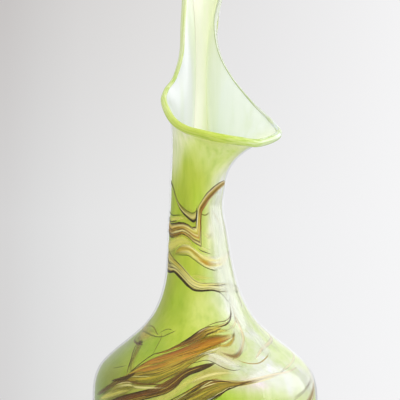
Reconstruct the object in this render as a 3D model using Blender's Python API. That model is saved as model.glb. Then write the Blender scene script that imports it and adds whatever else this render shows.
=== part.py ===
"""A hand blown art glass vase with a one-petal mouth, as its separate layers and bits of glass.

The wall is made the way such a vase is blown: an opal-white gather inside, a lime layer over it,
coloured trails laid on the lime, a clear casing over everything, which is also the heavy base, and a
lime lip wrap round the rim. Every layer follows one smooth outer surface, at its own depth under it.

The origin is at the middle of the foot, +Z is up, and the low front lip faces -Y.
Lengths are in millimetres until mesh_object, which turns them into metres. Angles are in degrees
round the vase: 0 is +X, -90 is the front.
"""

import math

import bmesh
import bpy
import numpy as np

MM = 0.001

# The outer surface from above the foot to the top of the neck: height, radius, lean of the axis in X.
BELLY_RADIUS = 70.0
WALL = [
    (20.0, 60.5, 0.0),
    (35.0, 67.2, 0.0),
    (48.0, 69.7, 0.0),
    (57.0, BELLY_RADIUS, 0.0),
    (67.0, 68.6, -0.4),
    (76.0, 64.2, -0.9),
    (84.5, 55.3, -1.3),
    (92.0, 45.8, -1.5),
    (101.0, 35.7, -1.6),
    (112.0, 28.3, -1.9),
    (126.0, 23.2, -2.5),
    (142.0, 20.4, -3.5),
    (158.0, 18.9, -4.7),
    (174.0, 17.1, -5.4),
    (190.0, 17.8, -4.2),
]

# The rim's outer line: angle where its glass leaves the neck, x, y and z, and the way the wall heads
# there, as an angle round the vase and a rise.
RIM = [
    (-90.0, 8.0, -42.0, 216.3, -78.0, 2.0),
    (-67.0, 22.0, -42.5, 214.1, -62.0, 2.0),
    (-45.0, 35.0, -37.0, 213.0, -45.0, 4.0),
    (-22.0, 47.2, -22.0, 218.0, -24.0, 10.0),
    (0.0, 42.5, -8.0, 226.5, -12.0, 24.0),
    (22.0, 30.0, 2.0, 239.0, -8.0, 38.0),
    (40.0, 17.5, 7.0, 254.0, -10.0, 46.0),
    (47.0, 9.8, 9.0, 269.5, -20.0, 50.0),
    (54.0, 7.8, 11.0, 286.0, -25.0, 52.0),
    (61.0, 11.2, 14.5, 303.0, -25.0, 54.0),
    (68.0, 15.6, 19.5, 326.0, -15.0, 58.0),
    (75.0, 17.2, 25.0, 350.0, -5.0, 66.0),
    (82.5, 13.4, 30.0, 373.0, 15.0, 78.0),
    (90.0, 3.0, 31.5, 384.0, 90.0, 85.0),
    (97.5, -7.6, 30.0, 373.5, 165.0, 78.0),
    (105.0, -13.8, 25.0, 351.0, 185.0, 66.0),
    (112.0, -16.0, 19.5, 327.0, 195.0, 58.0),
    (119.0, -14.8, 15.0, 304.0, 205.0, 54.0),
    (126.0, -15.6, 11.0, 286.0, 205.0, 52.0),
    (133.0, -16.4, 9.0, 268.5, 205.0, 50.0),
    (140.0, -20.5, 6.0, 254.0, 198.0, 48.0),
    (158.0, -26.0, 1.0, 246.0, 195.0, 50.0),
    (180.0, -27.5, -6.0, 238.5, 198.0, 46.0),
    (203.0, -22.5, -18.0, 228.0, 215.0, 34.0),
    (225.0, -14.0, -29.0, 221.9, 238.0, 18.0),
    (248.0, -3.0, -38.0, 218.7, 262.0, 8.0),
]
# The knots the petal runs between, from its right foot round its tip to its left foot.
PETAL_KNOTS = (6, 20)

# Depths under the outer surface: each layer's outside and inside, at the body and then at the rim.
# The trails keep to the body, in the space between the casing and the lime.
CASING = ((0.0, 1.6), (0.0, 0.9))
TRAIL = (1.95, 2.35)
LIME = ((2.9, 4.1), (1.2, 1.9))
OPAL = ((4.4, 5.6), (2.2, 3.0))

# The heavy base: the height of each surface where it crosses the axis.
CASING_FLOOR = 8.0
LIME_FLOOR = (8.3, 9.5)
OPAL_FLOOR = (9.8, 11.0)
FLOOR_FLAT_SHARE = 0.45
FLOOR_RING_SHARE = 0.55
PUNTY_DEPTH = 1.4

# The underside from the punty mark out to the rounded foot: radius and height.
UNDERSIDE = [(12.75, 0.98), (17.0, 0.0), (39.0, 0.0), (44.0, 1.6), (52.5, 9.0)]

# The lip wrap is an oval rod: half its width along the wall at the back and at the front, and
# half its thickness over that of the wall.
LIP_REACH = 1.3
LIP_REACH_FRONT = 1.0
LIP_PROUD = 0.4
LIP_SIDES = 8
LIP_GAP = 0.5

# The mouth sweeps from the neck to the lip: how long each end of the sweep keeps its own heading.
MOUTH_ROWS = 8
MOUTH_PULL = 0.95
LIP_PULL = 0.9
LIP_PULL_LIMIT = 45.0

STATION_SPACING = 5.0
STRIP_WIDTH = 3.0
TRAIL_END_SHARE = 0.2
SAMPLES_PER_POINT = 40
SLOPE_STEP = 0.5

# The small steps that directions along a curve are measured over.
KNOT_STEP = 0.02
ROW_STEP = 0.05
NORMAL_STEP = 0.01
CREASE_ANGLE = 50.0

# Each trail: colour name, then points along its middle as angle, height and width.
TRAILS = {
    "neck_v_trail": ("brown", [
        (-240, 178, 1.6), (-215, 186, 2.0), (-185, 189, 2.0), (-157, 188.5, 2.0), (-137, 180, 2.2),
        (-122, 171, 2.6), (-110, 166.5, 2.8), (-99, 164, 2.6), (-95, 167.5, 1.6)]),
    "neck_amber_trail": ("amber", [
        (70, 172, 2.5), (40, 181, 3.5), (10, 187, 4.0), (-20, 188, 4.0), (-50, 186.5, 4.0), (-67, 181.5, 4.0),
        (-78, 175.5, 4.0), (-83, 167, 3.6), (-84.5, 159, 3.2), (-85, 151, 2.0)]),
    "neck_wave_trail": ("tan", [
        (-245, 158, 3.0), (-220, 163, 6.0), (-190, 165, 8.0), (-166, 163, 9.5), (-142, 160, 10.0),
        (-124, 160.5, 9.5), (-108, 158, 8.0), (-97, 154, 3.5)]),
    "neck_amber_arc": ("amber", [
        (-130, 146.2, 2.4), (-119, 148.6, 3.6), (-108, 148.2, 4.0), (-97, 146, 4.0), (-84, 143.6, 4.0),
        (-68, 142, 3.6), (-45, 142.5, 3.0), (-15, 145, 2.2)]),
    "neck_brown_trail": ("dark_brown", [
        (-225, 150, 5.0), (-198, 146, 8.0), (-166, 141, 10.0), (-148, 138.5, 9.0), (-134, 137, 8.0),
        (-123, 133, 7.5), (-111, 128, 7.0), (-98, 124.2, 6.0), (-85, 124, 5.5), (-70, 124, 5.0),
        (-50, 122, 4.5), (-25, 120, 4.0), (5, 124, 2.5)]),
    "shoulder_thread": ("dark_brown", [
        (-40, 115, 1.0), (-52, 112, 1.4), (-59, 107, 1.4), (-68, 105.5, 1.4), (-80, 108, 1.0)]),
    "shoulder_loop_trail": ("olive", [
        (-200, 104, 2.5), (-178, 100, 4.0), (-158, 97, 5.0), (-138, 95, 5.0), (-124, 94.5, 4.0),
        (-114, 97, 2.0)]),
    "shoulder_smear": ("olive", [(-146, 88, 4.0), (-143, 82, 3.0), (-141, 75.5, 2.0)]),
    "shoulder_amber_trail": ("orange", [
        (-64, 97.5, 6.0), (-74, 94, 13.0), (-85, 90.5, 16.0), (-95, 86, 15.5), (-104, 81, 14.5),
        (-113, 75.5, 13.0), (-122, 70.5, 10.0), (-130, 67, 6.0)]),
    "belly_brown_trail": ("dark_brown", [
        (-78, 77.5, 3.0), (-86, 75.5, 5.5), (-95, 72.5, 6.0), (-103, 68.5, 7.0), (-111, 63, 8.0),
        (-122, 58.5, 8.0), (-137, 55.5, 7.5), (-155, 53.5, 6.5), (-176, 51.5, 4.0)]),
    "belly_olive_trail": ("olive", [
        (-54, 69.5, 4.0), (-66, 67, 8.0), (-78, 64.5, 10.0), (-88, 60, 12.0), (-98, 53.5, 13.0),
        (-109, 46.5, 12.0), (-122, 41, 10.0), (-140, 37, 7.0)]),
    "right_shoulder_trail": ("beige", [(-44, 109, 2.5), (-48, 103, 3.5), (-53, 95, 3.5), (-59, 88.5, 2.5)]),
    "right_arc_trail": ("beige", [(10, 100, 2.0), (-14, 94.5, 3.5), (-36, 88.5, 4.0), (-54, 81.5, 2.5)]),
    "right_low_arc_trail": ("beige", [(-2, 87, 2.0), (-18, 81.5, 3.5), (-34, 76, 3.5), (-46, 72.5, 2.0)]),
    "right_edge_trail": ("brown", [
        (16, 88, 3.0), (4, 79, 5.0), (-8, 71, 6.5), (-19, 64, 7.0), (-31, 57.5, 7.0), (-46, 52, 5.0),
        (-60, 48.5, 3.0)]),
    "low_brown_trail": ("brown", [
        (-146, 27, 3.0), (-122, 28, 6.0), (-96, 33, 8.0), (-70, 38.5, 8.0), (-44, 39, 7.0), (-18, 43, 6.0),
        (8, 51, 4.0)]),
    "back_brown_trail": ("dark_brown", [
        (28, 98, 4.0), (46, 91, 8.0), (66, 83, 11.0), (88, 74, 12.0), (112, 64, 11.0), (138, 54, 8.0),
        (160, 47, 4.0)]),
    "back_amber_trail": ("orange", [
        (24, 63, 4.0), (42, 58, 9.0), (64, 50, 12.0), (88, 43, 12.0), (114, 37, 9.0), (140, 31, 4.0)]),
    "back_shoulder_trail": ("tan", [
        (62, 112, 2.5), (82, 105, 5.0), (104, 97, 7.0), (126, 88, 7.0), (148, 78, 6.0), (170, 70, 3.0)]),
}

# Base colour, roughness and how much light passes, for each kind of glass.
GLASS = {
    "clear": ((0.96, 0.98, 0.97), 0.03, 0.95),
    "lime": ((0.42, 0.58, 0.08), 0.15, 0.0),
    "opal": ((0.88, 0.92, 0.86), 0.18, 0.0),
    "lip": ((0.50, 0.66, 0.10), 0.10, 0.0),
    "dark_brown": ((0.10, 0.06, 0.02), 0.12, 0.0),
    "brown": ((0.20, 0.12, 0.04), 0.12, 0.0),
    "tan": ((0.42, 0.30, 0.12), 0.12, 0.0),
    "olive": ((0.30, 0.24, 0.07), 0.12, 0.0),
    "amber": ((0.62, 0.42, 0.09), 0.12, 0.0),
    "orange": ((0.50, 0.22, 0.05), 0.12, 0.0),
    "beige": ((0.74, 0.66, 0.42), 0.12, 0.0),
}


def smooth(rows, at, turn=None):
    """Points of the smooth curve through the rows (Catmull-Rom); at counts rows from the first.

    With turn the curve is closed, and a whole turn adds those amounts to a row.
    """
    rows = np.array(rows, float)
    last = len(rows) - 1
    if turn is None:
        before, after = [2 * rows[0] - rows[1]], [2 * rows[last] - rows[last - 1]]
    else:
        before, after = [rows[last] - turn], [rows[0] + turn, rows[1] + turn]
    padded = np.vstack([before, rows, after])
    at = np.asarray(at, float)
    low = np.clip(np.floor(at).astype(int), 0, len(padded) - 4)
    p0, p1, p2, p3 = (padded[low + k] for k in range(4))
    x = (at - low)[..., None]
    bend = (2 * p0 - 5 * p1 + 4 * p2 - p3) * x**2 + (3 * (p1 - p2) + p3 - p0) * x**3
    return p1 + 0.5 * ((p2 - p0) * x + bend)


def unit(v):
    """The vectors made one long."""
    return v / np.linalg.norm(v, axis=-1, keepdims=True)


def rim_line(s):
    """The rim at knot number s: its angle at the neck, its outer line and half the lip wrap's reach."""
    knots = [knot[:4] for knot in RIM]
    line = smooth(knots, s, turn=(360.0, 0.0, 0.0, 0.0))
    front = (1 - np.sin(np.radians(line[..., 0]))) / 2
    return line[..., 0], line[..., 1:], LIP_REACH + LIP_REACH_FRONT * front**2


def rim_directions(s):
    """At knot number s, the way the wall heads at the rim, and that way square to the rim's line."""
    ways = []
    for *_, around, rise in np.radians(RIM):
        level = math.cos(rise)
        ways.append((level * math.cos(around), level * math.sin(around), math.sin(rise)))
    heading = unit(smooth(ways, s, turn=(0.0, 0.0, 0.0)))
    along = unit(rim_line(s + KNOT_STEP)[1] - rim_line(s - KNOT_STEP)[1])
    square = unit(heading - along * np.sum(heading * along, -1, keepdims=True))
    return heading, square


def wall_point(angle, row):
    """The outer surface at an angle, row rows up WALL."""
    z, r, lean = np.moveaxis(smooth(WALL, row), -1, 0)
    turn = np.radians(angle)
    return np.stack([lean + r * np.cos(turn), r * np.sin(turn), z + 0 * turn], -1)


def surface(s, v):
    """The outer surface at knot number s, v rows up: along WALL, then through the mouth to the rim."""
    top = len(WALL) - 1
    angle, rim, reach = rim_line(s)
    heading, square = rim_directions(s)
    body = wall_point(angle, np.minimum(v, top))
    start = wall_point(angle, np.full_like(angle, top))
    rising = unit(start - wall_point(angle, np.full_like(angle, top - ROW_STEP)))
    end = rim - square * (2 * reach + LIP_GAP)[..., None]
    t = (np.maximum(v - top, 0) / MOUTH_ROWS)[..., None]
    span = np.linalg.norm(end - start, axis=-1, keepdims=True)
    pull = LIP_PULL * span / (1 + (span / LIP_PULL_LIMIT) ** 4) ** 0.25
    mouth = (
        start * (1 - t) ** 2 * (1 + 2 * t)
        + end * t**2 * (3 - 2 * t)
        + rising * span * MOUTH_PULL * t * (1 - t) ** 2
        - heading * pull * t**2 * (1 - t)
    )
    return np.where((v > top)[..., None], mouth, body)


def outward(s, v):
    """The outer surface's normal."""
    step = NORMAL_STEP
    top = len(WALL) - 1 + MOUTH_ROWS
    along = surface(s + step, v) - surface(s - step, v)
    up = surface(s, np.minimum(v + step, top)) - surface(s, v - step)
    return unit(np.cross(along, up))


# The columns stand on the knots and halfway between them, but only on the knots in the petal.
HALVES = np.arange(len(RIM) * 2) / 2
IN_PETAL = (HALVES > PETAL_KNOTS[0]) & (HALVES < PETAL_KNOTS[1])
KNOTS = HALVES[(HALVES % 1 == 0) | ~IN_PETAL]
ROWS = np.arange(len(WALL) + MOUTH_ROWS).astype(float)
COLUMN_ANGLES = rim_line(KNOTS)[0]


def sheet(depth_at_body, depth_at_rim):
    """The points of one layer's surface, rows by columns, at its depth under the outer surface."""
    s, v = np.meshgrid(KNOTS, ROWS)
    t = np.maximum(v - (len(WALL) - 1), 0) / MOUTH_ROWS
    depth = depth_at_body + (depth_at_rim - depth_at_body) * t * t * (3 - 2 * t)
    return surface(s, v) - outward(s, v) * depth[..., None]


def floor_rings(ring, height):
    """Two rings that carry a layer from its lowest wall ring down to a flat floor, without the pole."""
    radius = np.hypot(ring[:, 0], ring[:, 1])
    slope = (WALL[1][1] - WALL[0][1]) / (WALL[1][0] - WALL[0][0])
    corner = radius - (ring[:, 2] - height) * slope
    flat = radius * FLOOR_FLAT_SHARE
    rings = []
    for t in (0.0, FLOOR_RING_SHARE):
        r = flat * (1 - t) ** 2 + 2 * corner * t * (1 - t) + radius * t**2
        z = height * (1 - t**2) + ring[:, 2] * t**2
        rings.append(np.stack([ring[:, 0] / radius * r, ring[:, 1] / radius * r, z], -1))
    return rings


def foot_rings(ring):
    """The underside's rings, from the punty mark out to the rounded foot."""
    direction = ring[:, :2] / np.hypot(ring[:, 0], ring[:, 1])[:, None]
    return [np.column_stack([direction * r, np.full(len(ring), z)]) for r, z in UNDERSIDE]


def mesh_object(name, points, faces, glass):
    """An object of the points, in mm, and faces, with its normals out and its own glass."""
    mesh = bpy.data.meshes.new(name)
    bm = bmesh.new()
    verts = [bm.verts.new(p * MM) for p in points]
    for face in faces:
        bm.faces.new([verts[i] for i in face])
    bmesh.ops.triangulate(bm, faces=bm.faces[:])
    bmesh.ops.recalc_face_normals(bm, faces=bm.faces[:])
    if bm.calc_volume(signed=True) < 0:
        bmesh.ops.reverse_faces(bm, faces=bm.faces[:])
    bm.to_mesh(mesh)
    bm.free()
    mesh.shade_smooth()
    mesh.set_sharp_from_angle(angle=math.radians(CREASE_ANGLE))
    item = bpy.data.objects.new(name, mesh)
    bpy.context.collection.objects.link(item)
    mesh.materials.append(glass_material(name + "_glass", *GLASS[glass]))
    return item


def glass_material(name, colour, roughness, transmission):
    """A Principled material for one kind of glass."""
    material = bpy.data.materials.new(name)
    material.use_nodes = True
    shader = material.node_tree.nodes["Principled BSDF"]
    shader.inputs["Base Color"].default_value = (*colour, 1.0)
    shader.inputs["Roughness"].default_value = roughness
    shader.inputs["Metallic"].default_value = 0.0
    shader.inputs["Transmission Weight"].default_value = transmission
    return material


def turned_shell(name, outer, inner, pole_heights, glass):
    """A bowl-shaped layer: outer and inner are lists of rings from the bottom pole to the rim.

    Every surface is split along the same diagonals, so that neighbouring layers stay parallel.
    """
    count = len(outer[0])
    loops = list(outer) + list(inner)[::-1]
    points = [p for ring in loops for p in ring]
    faces = []
    for k in range(len(loops) - 1):
        for i in range(count):
            j = (i + 1) % count
            a, b, c, d = k * count + i, k * count + j, (k + 1) * count + j, (k + 1) * count + i
            faces += [(a, b, c), (a, c, d)] if k < len(outer) else [(a, b, d), (b, c, d)]
    last = (len(loops) - 1) * count
    for pole_height, start in zip(pole_heights, (0, last)):
        points.append(np.array([0.0, 0.0, pole_height]))
        for i in range(count):
            faces.append((start + i, start + (i + 1) % count, len(points) - 1))
    return mesh_object(name, points, faces, glass)


def layer(name, depths, floors, glass):
    """A colour layer between two depths, closed by its own floor."""
    (out_body, in_body), (out_rim, in_rim) = depths
    outer, inner = sheet(out_body, out_rim), sheet(in_body, in_rim)
    outer = floor_rings(outer[0], floors[0]) + list(outer)
    inner = floor_rings(inner[0], floors[1]) + list(inner)
    return turned_shell(name, outer, inner, floors, glass)


def casing():
    """The clear outer casing with the heavy base, its foot ring and the ground punty mark."""
    (out_body, in_body), (out_rim, in_rim) = CASING
    outer, inner = sheet(out_body, out_rim), sheet(in_body, in_rim)
    outer = foot_rings(outer[0]) + list(outer)
    inner = floor_rings(inner[0], CASING_FLOOR) + list(inner)
    return turned_shell("clear_casing", outer, inner, (PUNTY_DEPTH, CASING_FLOOR), "clear")


def lip_wrap():
    """The thread of lime glass round the rim: an oval rod that stands on the ends of the layers."""
    _, rim, reach = rim_line(KNOTS)
    square = rim_directions(KNOTS)[1]
    normal = outward(KNOTS, np.full_like(KNOTS, ROWS[-1]))
    half_wall = OPAL[1][1] / 2
    middle = rim - square * reach[:, None] - normal * half_wall
    half_width = half_wall + LIP_PROUD * reach
    points, faces = [], []
    for i in range(len(KNOTS)):
        for k in range(LIP_SIDES):
            turn = math.tau * k / LIP_SIDES
            offset = square[i] * math.cos(turn) * reach[i] + normal[i] * math.sin(turn) * half_width[i]
            points.append(middle[i] + offset)
            i2, k2 = (i + 1) % len(KNOTS), (k + 1) % LIP_SIDES
            faces.append((i * LIP_SIDES + k, i * LIP_SIDES + k2, i2 * LIP_SIDES + k2, i2 * LIP_SIDES + k))
    return mesh_object("lip_wrap", points, faces, "lip")


def on_sheet(grid, angle, height):
    """The point of a layer's faceted surface at an angle and a height of the outer surface."""
    angles = np.append(COLUMN_ANGLES, COLUMN_ANGLES[0] + 360)
    angle = (angle - COLUMN_ANGLES[0]) % 360 + COLUMN_ANGLES[0]
    column = np.interp(angle, angles, np.arange(len(angles)))
    row = np.interp(height, [w[0] for w in WALL], np.arange(len(WALL)))
    c, r = int(min(column, len(KNOTS) - 1)), int(min(row, len(WALL) - 2))
    a, b, c2 = column - c, row - r, (c + 1) % len(KNOTS)
    low = grid[r, c] * (1 - a) + grid[r, c2] * a
    high = grid[r + 1, c] * (1 - a) + grid[r + 1, c2] * a
    return low * (1 - b) + high * b


def trail(name, glass, path, face, back):
    """A ribbon of coloured glass with thin edges, along the path, between two buried sheets."""
    path = np.array(path, float)
    fine = smooth(path, np.linspace(0, len(path) - 1, SAMPLES_PER_POINT * len(path)))
    spots = np.array([on_sheet(face, a, z) for a, z, _ in fine])
    along = np.append(0, np.cumsum(np.linalg.norm(np.diff(spots, axis=0), axis=1)))
    count = max(4, round(along[-1] / STATION_SPACING)) + 1
    places = np.linspace(0, along[-1], count)
    stations = np.stack([np.interp(places, along, fine[:, k]) for k in range(3)], -1)
    strips = 2 * math.ceil(path[:, 2].max() / STRIP_WIDTH / 2)
    points, faces = [], []
    for i, (angle, height, width) in enumerate(stations):
        a, b = stations[max(i - 1, 0)], stations[min(i + 1, count - 1)]
        heading = on_sheet(face, b[0], b[1]) - on_sheet(face, a[0], a[1])
        step = SLOPE_STEP
        per_turn = (on_sheet(face, angle + step, height) - on_sheet(face, angle - step, height)) / (2 * step)
        per_rise = (on_sheet(face, angle, height + step) - on_sheet(face, angle, height - step)) / (2 * step)
        across = unit(np.cross(np.cross(per_turn, per_rise), heading))
        side = np.linalg.lstsq(np.column_stack([per_turn, per_rise]), across, rcond=None)[0]
        if i in (0, count - 1):
            width *= TRAIL_END_SHARE
        points += ribbon_section(face, back, angle, height, side * width / 2, strips)
    ring = 2 * strips
    for i in range(count - 1):
        for k in range(ring):
            j = (k + 1) % ring
            faces.append((i * ring + k, i * ring + j, (i + 1) * ring + j, (i + 1) * ring + k))
    faces.append(tuple(range(ring)))
    faces.append(tuple((count - 1) * ring + k for k in range(ring)))
    return mesh_object(name, points, faces, glass)


def ribbon_section(face, back, angle, height, side, strips):
    """One ring of a ribbon: over its face from edge to edge and back over its underside."""
    shares = np.linspace(-1, 1, strips + 1)
    top = [on_sheet(face, angle + side[0] * q, height + side[1] * q) for q in shares]
    under = [on_sheet(back, angle + side[0] * q, height + side[1] * q) for q in shares]
    edges = [(top[0] + under[0]) / 2, (top[-1] + under[-1]) / 2]
    return [edges[0]] + top[1:-1] + [edges[1]] + under[-2:0:-1]


def main():
    """Build every piece of the vase in an empty scene."""
    for item in list(bpy.data.objects):
        bpy.data.objects.remove(item, do_unlink=True)
    casing()
    layer("lime_layer", LIME, LIME_FLOOR, "lime")
    layer("opal_lining", OPAL, OPAL_FLOOR, "opal")
    lip_wrap()
    face, back = (sheet(depth, depth) for depth in TRAIL)
    for name, (glass, path) in TRAILS.items():
        trail(name, glass, path, face, back)


main()
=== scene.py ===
"""The looks of the hand blown vase: every layer and trail of glass as a smooth mesh with its own finish.

The pieces follow the same outer surface as the solids they stand for, so WALL, RIM and the functions
that read them say what the solids' source says. Lengths are in millimetres until mesh_piece. Angles
are in degrees round the vase: 0 is +X, and -90 is the front, where the lip is low.
"""

import math
import random

import bpy
import numpy as np
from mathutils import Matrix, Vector


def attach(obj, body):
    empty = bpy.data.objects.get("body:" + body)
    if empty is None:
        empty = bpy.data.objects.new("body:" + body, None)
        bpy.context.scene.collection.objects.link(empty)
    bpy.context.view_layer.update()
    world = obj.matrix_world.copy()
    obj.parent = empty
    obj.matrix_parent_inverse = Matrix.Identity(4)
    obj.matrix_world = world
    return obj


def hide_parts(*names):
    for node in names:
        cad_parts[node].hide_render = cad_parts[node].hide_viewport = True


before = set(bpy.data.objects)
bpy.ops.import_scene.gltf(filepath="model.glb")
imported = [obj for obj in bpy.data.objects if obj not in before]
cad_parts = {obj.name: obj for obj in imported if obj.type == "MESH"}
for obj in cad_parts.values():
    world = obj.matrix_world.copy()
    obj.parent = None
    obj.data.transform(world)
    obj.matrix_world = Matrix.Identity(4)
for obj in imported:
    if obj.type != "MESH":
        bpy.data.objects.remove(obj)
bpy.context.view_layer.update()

MM = 0.001
SHARP_ANGLE = math.radians(60)

# ---------------------------------------------------------------- the outer surface

# From above the foot to the top of the neck: height, radius, lean of the axis in X.
WALL = [
    (20, 60.5, 0), (35, 67.2, 0), (48, 69.7, 0), (57, 70, 0), (67, 68.6, -0.4), (76, 64.2, -0.9),
    (84.5, 55.3, -1.3), (92, 45.8, -1.5), (101, 35.7, -1.6), (112, 28.3, -1.9), (126, 23.2, -2.5),
    (142, 20.4, -3.5), (158, 18.9, -4.7), (174, 17.1, -5.4), (190, 17.8, -4.2),
]

# The rim's outer line: angle where its glass leaves the neck, x, y and z, and the way the wall heads
# there, as an angle round the vase and a rise.
RIM = [
    (-90, 8, -42, 216.3, -78, 2), (-67, 22, -42.5, 214.1, -62, 2), (-45, 35, -37, 213, -45, 4),
    (-22, 47.2, -22, 218, -24, 10), (0, 42.5, -8, 226.5, -12, 24), (22, 30, 2, 239, -8, 38),
    (40, 17.5, 7, 254, -10, 46), (47, 9.8, 9, 269.5, -20, 50), (54, 7.8, 11, 286, -25, 52),
    (61, 11.2, 14.5, 303, -25, 54), (68, 15.6, 19.5, 326, -15, 58), (75, 17.2, 25, 350, -5, 66),
    (82.5, 13.4, 30, 373, 15, 78), (90, 3, 31.5, 384, 90, 85), (97.5, -7.6, 30, 373.5, 165, 78),
    (105, -13.8, 25, 351, 185, 66), (112, -16, 19.5, 327, 195, 58), (119, -14.8, 15, 304, 205, 54),
    (126, -15.6, 11, 286, 205, 52), (133, -16.4, 9, 268.5, 205, 50), (140, -20.5, 6, 254, 198, 48),
    (158, -26, 1, 246, 195, 50), (180, -27.5, -6, 238.5, 198, 46), (203, -22.5, -18, 228, 215, 34),
    (225, -14, -29, 221.9, 238, 18), (248, -3, -38, 218.7, 262, 8),
]

# Depths under the outer surface: each layer's outside and inside, at the body and then at the rim. The
# casing bends light so that the colours under it look as wide as the vase: they lie close to its face.
CASING = ((0.13, 0.5), (0.0, 0.4))
LIME = ((1.35, 3.4), (0.6, 1.9))
OPAL = ((4.4, 5.6), (2.2, 3.0))
# A trail's depths: its face along the middle, its edges and its back. Each level up is LEVEL less.
TRAIL_FACE = 1.12
TRAIL_EDGE = 1.22
TRAIL_BACK = 1.30
LEVEL = 0.09

CASING_FLOOR = 8.0
LIME_FLOOR = (8.3, 9.5)
OPAL_FLOOR = (9.8, 11.0)
FLOOR_FLAT_SHARE = 0.45
FLOOR_STEPS = 10
PUNTY_DEPTH = 1.4
FOOT_CORNER_STEPS = 16
# Radius and height of the underside, outward from the punty mark. The last three round the foot's corner.
UNDERSIDE = [(6.0, 1.3), (12.75, 0.98), (17.0, 0.0), (39.0, 0.0), (44.0, 1.6), (52.5, 9.0)]

# Half of the lip wrap's reach, what the front adds to it, and where and by how much it is thinner.
LIP_REACH = 1.2
LIP_REACH_FRONT = 1.8
LIP_REACH_CUT = 0.55
LIP_THIN_ANGLE = 50.0
LIP_THIN_SPREAD = 32.0
# How far the wrap stands out from the wall's faces, as a share of its reach, and the gap between the
# wall's end and the wrap, which is negative: the wall runs up into the wrap.
LIP_PROUD = 0.4
LIP_GAP = -0.8
LIP_SIDES = 24
LIP_STEPS_PER_KNOT = 20

# How strongly the mouth's curve holds the neck's way at its start and the rim's way at its end.
MOUTH_PULL = 0.95
LIP_PULL = 0.9
LIP_PULL_LIMIT = 45.0

# How finely the surface is divided: rows of the mouth, then steps from knot to knot and row to row.
MOUTH_ROWS = 8
COLUMNS_PER_KNOT = 10
STEPS_PER_ROW = 5


def smooth(rows, at, turn=None):
    """Points of the smooth curve through the rows (Catmull-Rom); at counts rows from the first.

    With turn the curve is closed, and a whole turn adds those amounts to a row.
    """
    rows = np.array(rows, float)
    last = len(rows) - 1
    if turn is None:
        before, after = [2 * rows[0] - rows[1]], [2 * rows[last] - rows[last - 1]]
    else:
        before, after = [rows[last] - turn], [rows[0] + turn, rows[1] + turn]
    padded = np.vstack([before, rows, after])
    at = np.asarray(at, float)
    low = np.clip(np.floor(at).astype(int), 0, len(padded) - 4)
    p0, p1, p2, p3 = (padded[low + k] for k in range(4))
    x = (at - low)[..., None]
    bend = (2 * p0 - 5 * p1 + 4 * p2 - p3) * x**2 + (3 * (p1 - p2) + p3 - p0) * x**3
    return p1 + 0.5 * ((p2 - p0) * x + bend)


def unit(v):
    """The vectors made one long."""
    return v / np.linalg.norm(v, axis=-1, keepdims=True)


def rim_line(s):
    """The rim at knot number s: its angle at the neck, its outer line and half the lip wrap's reach."""
    line = smooth([knot[:4] for knot in RIM], s, turn=(360.0, 0.0, 0.0, 0.0))
    front = (1 - np.sin(np.radians(line[..., 0]))) / 2
    thinner = LIP_REACH_CUT * np.exp(-(((line[..., 0] - LIP_THIN_ANGLE) / LIP_THIN_SPREAD) ** 2))
    return line[..., 0], line[..., 1:], (LIP_REACH + LIP_REACH_FRONT * front**2) * (1 - thinner)


def rim_directions(s):
    """At knot number s, the way the wall heads at the rim, and that way square to the rim's line."""
    ways = []
    for *_, around, rise in np.radians(RIM):
        level = math.cos(rise)
        ways.append((level * math.cos(around), level * math.sin(around), math.sin(rise)))
    heading = unit(smooth(ways, s, turn=(0.0, 0.0, 0.0)))
    along = unit(rim_line(s + 0.02)[1] - rim_line(s - 0.02)[1])
    square = unit(heading - along * np.sum(heading * along, -1, keepdims=True))
    return heading, square


def wall_point(angle, row):
    """The outer surface at an angle, row rows up WALL."""
    z, r, lean = np.moveaxis(smooth(WALL, row), -1, 0)
    turn = np.radians(angle)
    return np.stack([lean + r * np.cos(turn), r * np.sin(turn), z + 0 * turn], -1)


def surface(s, v):
    """The outer surface at knot number s, v rows up: along WALL, then through the mouth to the rim."""
    top = len(WALL) - 1
    angle, rim, reach = rim_line(s)
    heading, square = rim_directions(s)
    body = wall_point(angle, np.minimum(v, top))
    start = wall_point(angle, np.full_like(angle, top))
    rising = unit(start - wall_point(angle, np.full_like(angle, top - 0.05)))
    end = rim - square * (2 * reach + LIP_GAP)[..., None]
    t = (np.maximum(v - top, 0) / MOUTH_ROWS)[..., None]
    span = np.linalg.norm(end - start, axis=-1, keepdims=True)
    pull = LIP_PULL * span / (1 + (span / LIP_PULL_LIMIT) ** 4) ** 0.25
    mouth = (
        start * (1 - t) ** 2 * (1 + 2 * t)
        + end * t**2 * (3 - 2 * t)
        + rising * span * MOUTH_PULL * t * (1 - t) ** 2
        - heading * pull * t**2 * (1 - t)
    )
    return np.where((v > top)[..., None], mouth, body)


def outward(s, v):
    """The outer surface's normal."""
    step = 0.01
    top = len(WALL) - 1 + MOUTH_ROWS
    along = surface(s + step, v) - surface(s - step, v)
    up = surface(s, np.minimum(v + step, top)) - surface(s, v - step)
    return unit(np.cross(along, up))


COLUMNS = np.arange(len(RIM) * COLUMNS_PER_KNOT) / COLUMNS_PER_KNOT
ROWS = np.arange((len(WALL) - 1 + MOUTH_ROWS) * STEPS_PER_ROW + 1) / STEPS_PER_ROW
GRID_S, GRID_V = np.meshgrid(COLUMNS, ROWS)
GRID_SURFACE = surface(GRID_S, GRID_V)
GRID_NORMAL = outward(GRID_S, GRID_V)
GRID_ANGLE = rim_line(GRID_S)[0]


def sheet(depth_at_body, depth_at_rim):
    """The points of one layer's surface, rows by columns, at its depth under the outer surface."""
    t = np.maximum(GRID_V - (len(WALL) - 1), 0) / MOUTH_ROWS
    depth = depth_at_body + (depth_at_rim - depth_at_body) * t * t * (3 - 2 * t)
    return GRID_SURFACE - GRID_NORMAL * depth[..., None]


# ---------------------------------------------------------------- colours


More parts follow.
